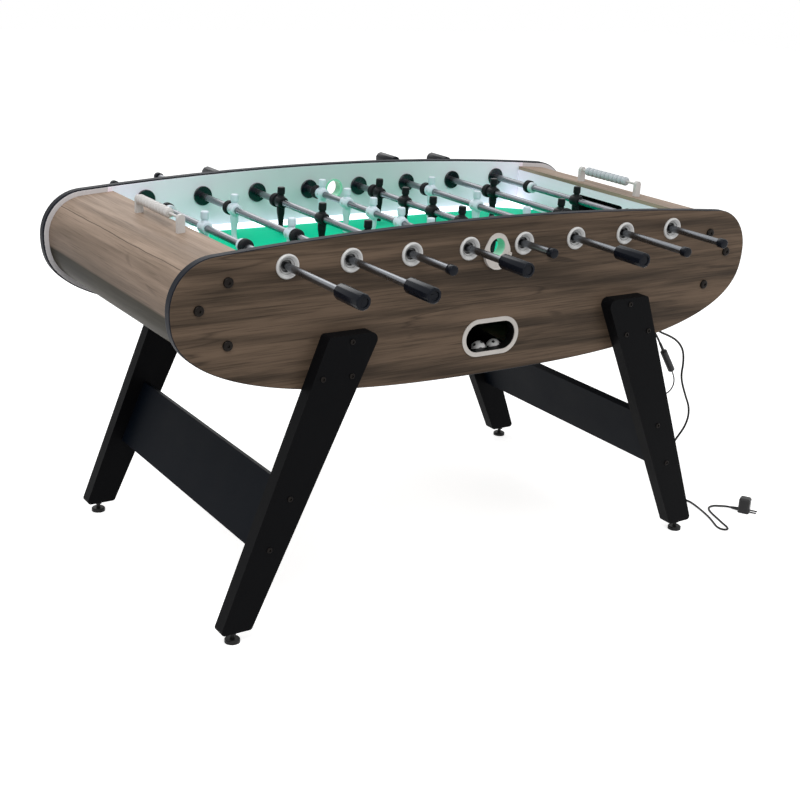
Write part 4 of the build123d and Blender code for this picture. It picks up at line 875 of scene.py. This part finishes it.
# -------------------- score counters
def add_bead(bm, place, pitch, radius, bore):
    """A barrel-shaped bead with a small flat round its hole at each end."""
    half = pitch / 2 - BEAD_GAP / 2
    points = (
        (bore, -half),
        (radius - 0.0058, -half),
        (radius - 0.0034, -half + 0.0005),
        (radius - 0.0013, -half + 0.0018),
        (radius - 0.0003, -half + 0.0040),
    )
    spun(bm, both_halves(points, (radius, 0)), place, steps=32)


class FOOSBALL_OT_counters(bpy.types.Operator):
    """Finish the score counters' posts and rails, and model their beads"""

    bl_idname = "foosball.counters"
    bl_label = "Score counters"

    def execute(self, context):
        colours = context.scene.foosball_finish
        finish_nodes(moulded("counter_plastic", colours.counter_white, 0.4), "counter_rails")
        finishes = {
            "left": moulded("white_bead_plastic", colours.counter_white, 0.30),
            "right": moulded("grey_bead_plastic", colours.bead_grey, 0.30),
        }
        for side, plastic in finishes.items():
            low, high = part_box(f"{side}_beads")
            x, z, radius = (low.x + high.x) / 2, (low.z + high.z) / 2, (high.z - low.z) / 2
            pitch = (high.y - low.y) / BEADS_PER_COUNTER
            bm = bmesh.new()
            for number in range(BEADS_PER_COUNTER):
                place = Vector((x, low.y + (number + 0.5) * pitch, z))
                add_bead(bm, place, pitch, radius, context.scene.foosball_sizes.bead_bore)
            beads = coat(piece_from(bm, f"{side}_bead_rings", 50), plastic, f"{side}_bead_row")
            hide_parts(f"{side}_beads")
        return {"FINISHED"}


# -------------------- stand and bolts
class FOOSBALL_OT_stand(bpy.types.Operator):
    """Finish the legs, crossbars, levelling feet and bolts"""

    bl_idname = "foosball.stand"
    bl_label = "Stand and bolts"

    def execute(self, context):
        colours = context.scene.foosball_finish
        lacquer = lacquered("leg_lacquer", colours.lacquer, 0.5)
        finish_nodes(lacquer, "near_left_leg", "near_right_leg", "far_left_leg", "far_right_leg")
        finish_nodes(lacquered("crossbar_lacquer", colours.crossbar_black, 0.45), "crossbars")
        finish_nodes(moulded("foot_plastic", (0.008, 0.008, 0.008), 0.5, specular=0.2), "levelling_feet")
        finish_nodes(brushed("bolt_black_oxide", (0.016, 0.014, 0.013), 0.40, (300, 300, 300)), "bolts")
        return {"FINISHED"}


# -------------------- cords, with their routes in metres
POWER_CORD = (
    (0.643, -0.256, 0.474), (0.629, -0.256, 0.4951), (0.609, -0.257, 0.516),
    (0.583, -0.26, 0.536), (0.557, -0.266, 0.549), (0.54, -0.279, 0.553),
    (0.54, -0.303, 0.553), (0.551, -0.318, 0.545), (0.571, -0.325, 0.531),
    (0.601, -0.325, 0.519), (0.634, -0.323, 0.502), (0.661, -0.322, 0.475),
    (0.67, -0.321, 0.438), (0.667, -0.32, 0.398), (0.689, -0.32, 0.35),
    (0.716, -0.319, 0.303), (0.714, -0.316, 0.258), (0.688, -0.308, 0.216),
    (0.672, -0.295, 0.172), (0.68, -0.281, 0.126), (0.706, -0.271, 0.082),
    (0.739, -0.264, 0.044), (0.77, -0.258, 0.017), (0.794, -0.255, 0.0045),
    (0.809, -0.27, 0.00295), (0.803, -0.304, 0.00295), (0.793, -0.34, 0.00295),
    (0.779, -0.38, 0.00295), (0.765, -0.409, 0.00295), (0.754, -0.43, 0.00295),
    (0.751, -0.447, 0.00295), (0.758, -0.458, 0.00295), (0.769, -0.459, 0.00295),
    (0.777, -0.447, 0.00295), (0.783, -0.427, 0.00295), (0.793, -0.399, 0.00295),
    (0.803, -0.368, 0.00295), (0.814, -0.343, 0.00295), (0.829, -0.328, 0.00295),
    (0.848, -0.327, 0.00295), (0.862, -0.336, 0.00295), (0.87298, -0.34936, 0.0055),
    (0.88045, -0.36132, 0.0055),
)
TABLE_LEAD = (
    (0.47, -0.29, 0.524), (0.47, -0.29, 0.503), (0.481, -0.2895, 0.482),
    (0.503, -0.287, 0.466), (0.53, -0.283, 0.447), (0.556, -0.278, 0.418),
    (0.578, -0.273, 0.385), (0.6, -0.269, 0.357), (0.626, -0.265, 0.338),
    (0.655, -0.261, 0.328), (0.681, -0.259, 0.329), (0.701, -0.258, 0.338),
    (0.711, -0.257, 0.356), (0.707, -0.256, 0.3774), (0.69797, -0.256, 0.39096),
)


def route_curve(name, points, radius):
    """A round cord along a smooth open spline through its route."""
    curve = bpy.data.curves.new(name, "CURVE")
    curve.dimensions = "3D"
    curve.bevel_depth = radius
    curve.bevel_resolution = 5
    curve.resolution_u = 10
    curve.use_fill_caps = True
    spline = curve.splines.new("NURBS")
    spline.points.add(len(points) - 1)
    for point, place in zip(spline.points, points):
        point.co = (*place, 1)
    spline.order_u = 3
    spline.use_endpoint_u = True
    cord = bpy.data.objects.new(name, curve)
    bpy.context.scene.collection.objects.link(cord)
    return cord


class FOOSBALL_OT_cords(bpy.types.Operator):
    """Lay the power cord and the thin lead, and finish their connector, plug, gland and clip"""

    bl_idname = "foosball.cords"
    bl_label = "Power cord"

    def execute(self, context):
        sizes = context.scene.foosball_sizes
        sheath = moulded("cord_sheath", (0.009, 0.009, 0.009), 0.5, grain=1200, specular=0.25)
        fitting = moulded("cord_fitting_plastic", (0.010, 0.010, 0.011), 0.38, specular=0.3)
        finish_nodes(fitting, "connector", "plug", "cord_fixings")
        cord = route_curve("power_cord_sheath", POWER_CORD, sizes.cord_radius)
        lead = route_curve("table_lead_sheath", TABLE_LEAD, sizes.lead_radius)
        coat(cord, sheath, "table")
        coat(lead, sheath, "table")
        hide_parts("power_cord")
        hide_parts("table_lead")
        return {"FINISHED"}


# -------------------- camera, floor and lights
CAMERA_PLACE = (-1.8275, -2.7247, 1.4725)
CAMERA_HEADING = 0.594        # radians, from +Y towards +X
CAMERA_PITCH = 0.335          # radians, downwards
CAMERA_ROLL = 0.055           # radians
LENS_MM, SENSOR_MM = 61.85, 36
SKY_ON_TABLE = 0.55           # how strongly the sky lights the table
FLOOR_REACH = 14              # metres from the table's middle to the floor's edge
FLOOR_ON_TABLE = (0.55, 0.55, 0.55)  # the floor's colour as it lights the table
FLOOR_SEEN = (0.90, 0.90, 0.90)      # and as the camera sees it
FLOOR_GLOW = 0.66             # added to the floor that the camera sees, to make it white
# Name, place, target, size in metres and power in watts
LAMPS = (
    ("Key", (-1.6, -1.2, 3.6), (0.0, 0.0, 0.6), 2.6, 62),
    ("Fill", (2.3, -2.8, 2.1), (0.3, 0.0, 0.6), 2.2, 24),
    ("Back", (0.6, 3.4, 3.0), (0.0, 0.0, 0.7), 2.2, 26),
)


def add_camera(scene):
    """The camera, aimed by its heading, pitch and roll."""
    east, north, along = math.sin(CAMERA_HEADING), math.cos(CAMERA_HEADING), math.cos(CAMERA_PITCH)
    ahead = Vector((east * along, north * along, -math.sin(CAMERA_PITCH)))
    level_right = Vector((north, -east, 0))
    level_up = level_right.cross(ahead)
    right = math.cos(CAMERA_ROLL) * level_right + math.sin(CAMERA_ROLL) * level_up
    aim = Matrix((right, right.cross(ahead), -ahead)).transposed().to_4x4()
    lens = bpy.data.cameras.new("Camera")
    lens.lens = LENS_MM
    lens.sensor_width = SENSOR_MM
    camera = bpy.data.objects.new("Camera", lens)
    camera.matrix_world = Matrix.Translation(CAMERA_PLACE) @ aim
    scene.collection.objects.link(camera)
    scene.camera = camera


def background_rays(tree):
    """A factor of 1 for rays straight from the camera, or by way of a mirroring or clear piece."""
    rays = tree.nodes.new("ShaderNodeLightPath")
    seen = rays.outputs["Is Camera Ray"]
    for kind in ("Is Glossy Ray", "Is Transmission Ray"):
        either = tree.nodes.new("ShaderNodeMath")
        either.operation = "MAXIMUM"
        tree.links.new(seen, either.inputs[0])
        tree.links.new(rays.outputs[kind], either.inputs[1])
        seen = either.outputs[0]
    return seen


def add_floor():
    """A wide pale floor that still takes the table's shadow."""
    bm = bmesh.new()
    bmesh.ops.create_grid(bm, x_segments=1, y_segments=1, size=FLOOR_REACH)
    floor = piece_from(bm, "floor")
    paint = Finish("floor_paint", FLOOR_SEEN, 0.9, specular=0.0)
    floor.data.materials.append(paint.material)
    seen = background_rays(paint.tree)
    paint.paint(paint.mix(seen, FLOOR_ON_TABLE, FLOOR_SEEN))
    paint.join((1, 1, 1, 1), paint.shader.inputs["Emission Color"])
    paint.join(paint.calculate("MULTIPLY", seen, FLOOR_GLOW), paint.shader.inputs["Emission Strength"])


def add_world(scene):
    """An even sky that is white to the camera."""
    world = bpy.data.worlds.new("Studio")
    world.use_nodes = True
    scene.world = world
    tree = world.node_tree
    sky = tree.nodes["Background"]
    strength = tree.nodes.new("ShaderNodeMapRange")
    tree.links.new(background_rays(tree), strength.inputs["Value"])
    strength.inputs["To Min"].default_value = SKY_ON_TABLE
    strength.inputs["To Max"].default_value = 1.0
    tree.links.new(strength.outputs["Result"], sky.inputs["Strength"])
    sky.inputs["Color"].default_value = (1, 1, 1, 1)


def add_lamp(name, place, target, size, watts):
    """A square soft light aimed at a point."""
    light = bpy.data.lights.new(name, "AREA")
    light.size = size
    light.energy = watts
    lamp = bpy.data.objects.new(name, light)
    lamp.location = place
    lamp.rotation_euler = (Vector(target) - Vector(place)).to_track_quat("-Z", "Y").to_euler()
    bpy.context.scene.collection.objects.link(lamp)


class FOOSBALL_OT_stage(bpy.types.Operator):
    """Set up the camera, the pale floor and the soft lights"""

    bl_idname = "foosball.stage"
    bl_label = "Camera, floor and lights"

    def execute(self, context):
        add_camera(context.scene)
        add_floor()
        add_world(context.scene)
        for lamp in LAMPS:
            add_lamp(*lamp)
        context.scene.view_settings.view_transform = "Standard"
        return {"FINISHED"}


# -------------------- panel and registration
STEPS = (
    FOOSBALL_OT_stage,
    FOOSBALL_OT_cords,
    FOOSBALL_OT_cabinet,
    FOOSBALL_OT_stand,
    FOOSBALL_OT_rods,
    FOOSBALL_OT_handles,
    FOOSBALL_OT_men,
    FOOSBALL_OT_counters,
    FOOSBALL_OT_balls,
)


class FOOSBALL_PT_sidebar(bpy.types.Panel):
    """Lists the table's settings and the steps that make it"""

    bl_label = "Foosball Table"
    bl_idname = "FOOSBALL_PT_sidebar"
    bl_space_type = "VIEW_3D"
    bl_region_type = "UI"
    bl_category = "Foosball"

    def draw(self, context):
        settings = {"Sizes": context.scene.foosball_sizes, "Colours": context.scene.foosball_finish}
        for title, group in settings.items():
            box = self.layout.box()
            box.label(text=title)
            for setting in group.__annotations__:
                box.prop(group, setting)
        for step in STEPS:
            self.layout.operator(step.bl_idname)


CLASSES = (FoosballFinish, FoosballSizes, *STEPS, FOOSBALL_PT_sidebar)


def register():
    """Add the settings, the steps and the panel to Blender."""
    for item in CLASSES:
        bpy.utils.register_class(item)
    bpy.types.Scene.foosball_finish = PointerProperty(type=FoosballFinish)
    bpy.types.Scene.foosball_sizes = PointerProperty(type=FoosballSizes)


def unregister():
    """Take them away again."""
    del bpy.types.Scene.foosball_sizes
    del bpy.types.Scene.foosball_finish
    for item in reversed(CLASSES):
        bpy.utils.unregister_class(item)


def main():
    """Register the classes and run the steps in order."""
    register()
    for step in STEPS:
        group, name = step.bl_idname.split(".")
        getattr(getattr(bpy.ops, group), name)()


if __name__ == "__main__":
    main()
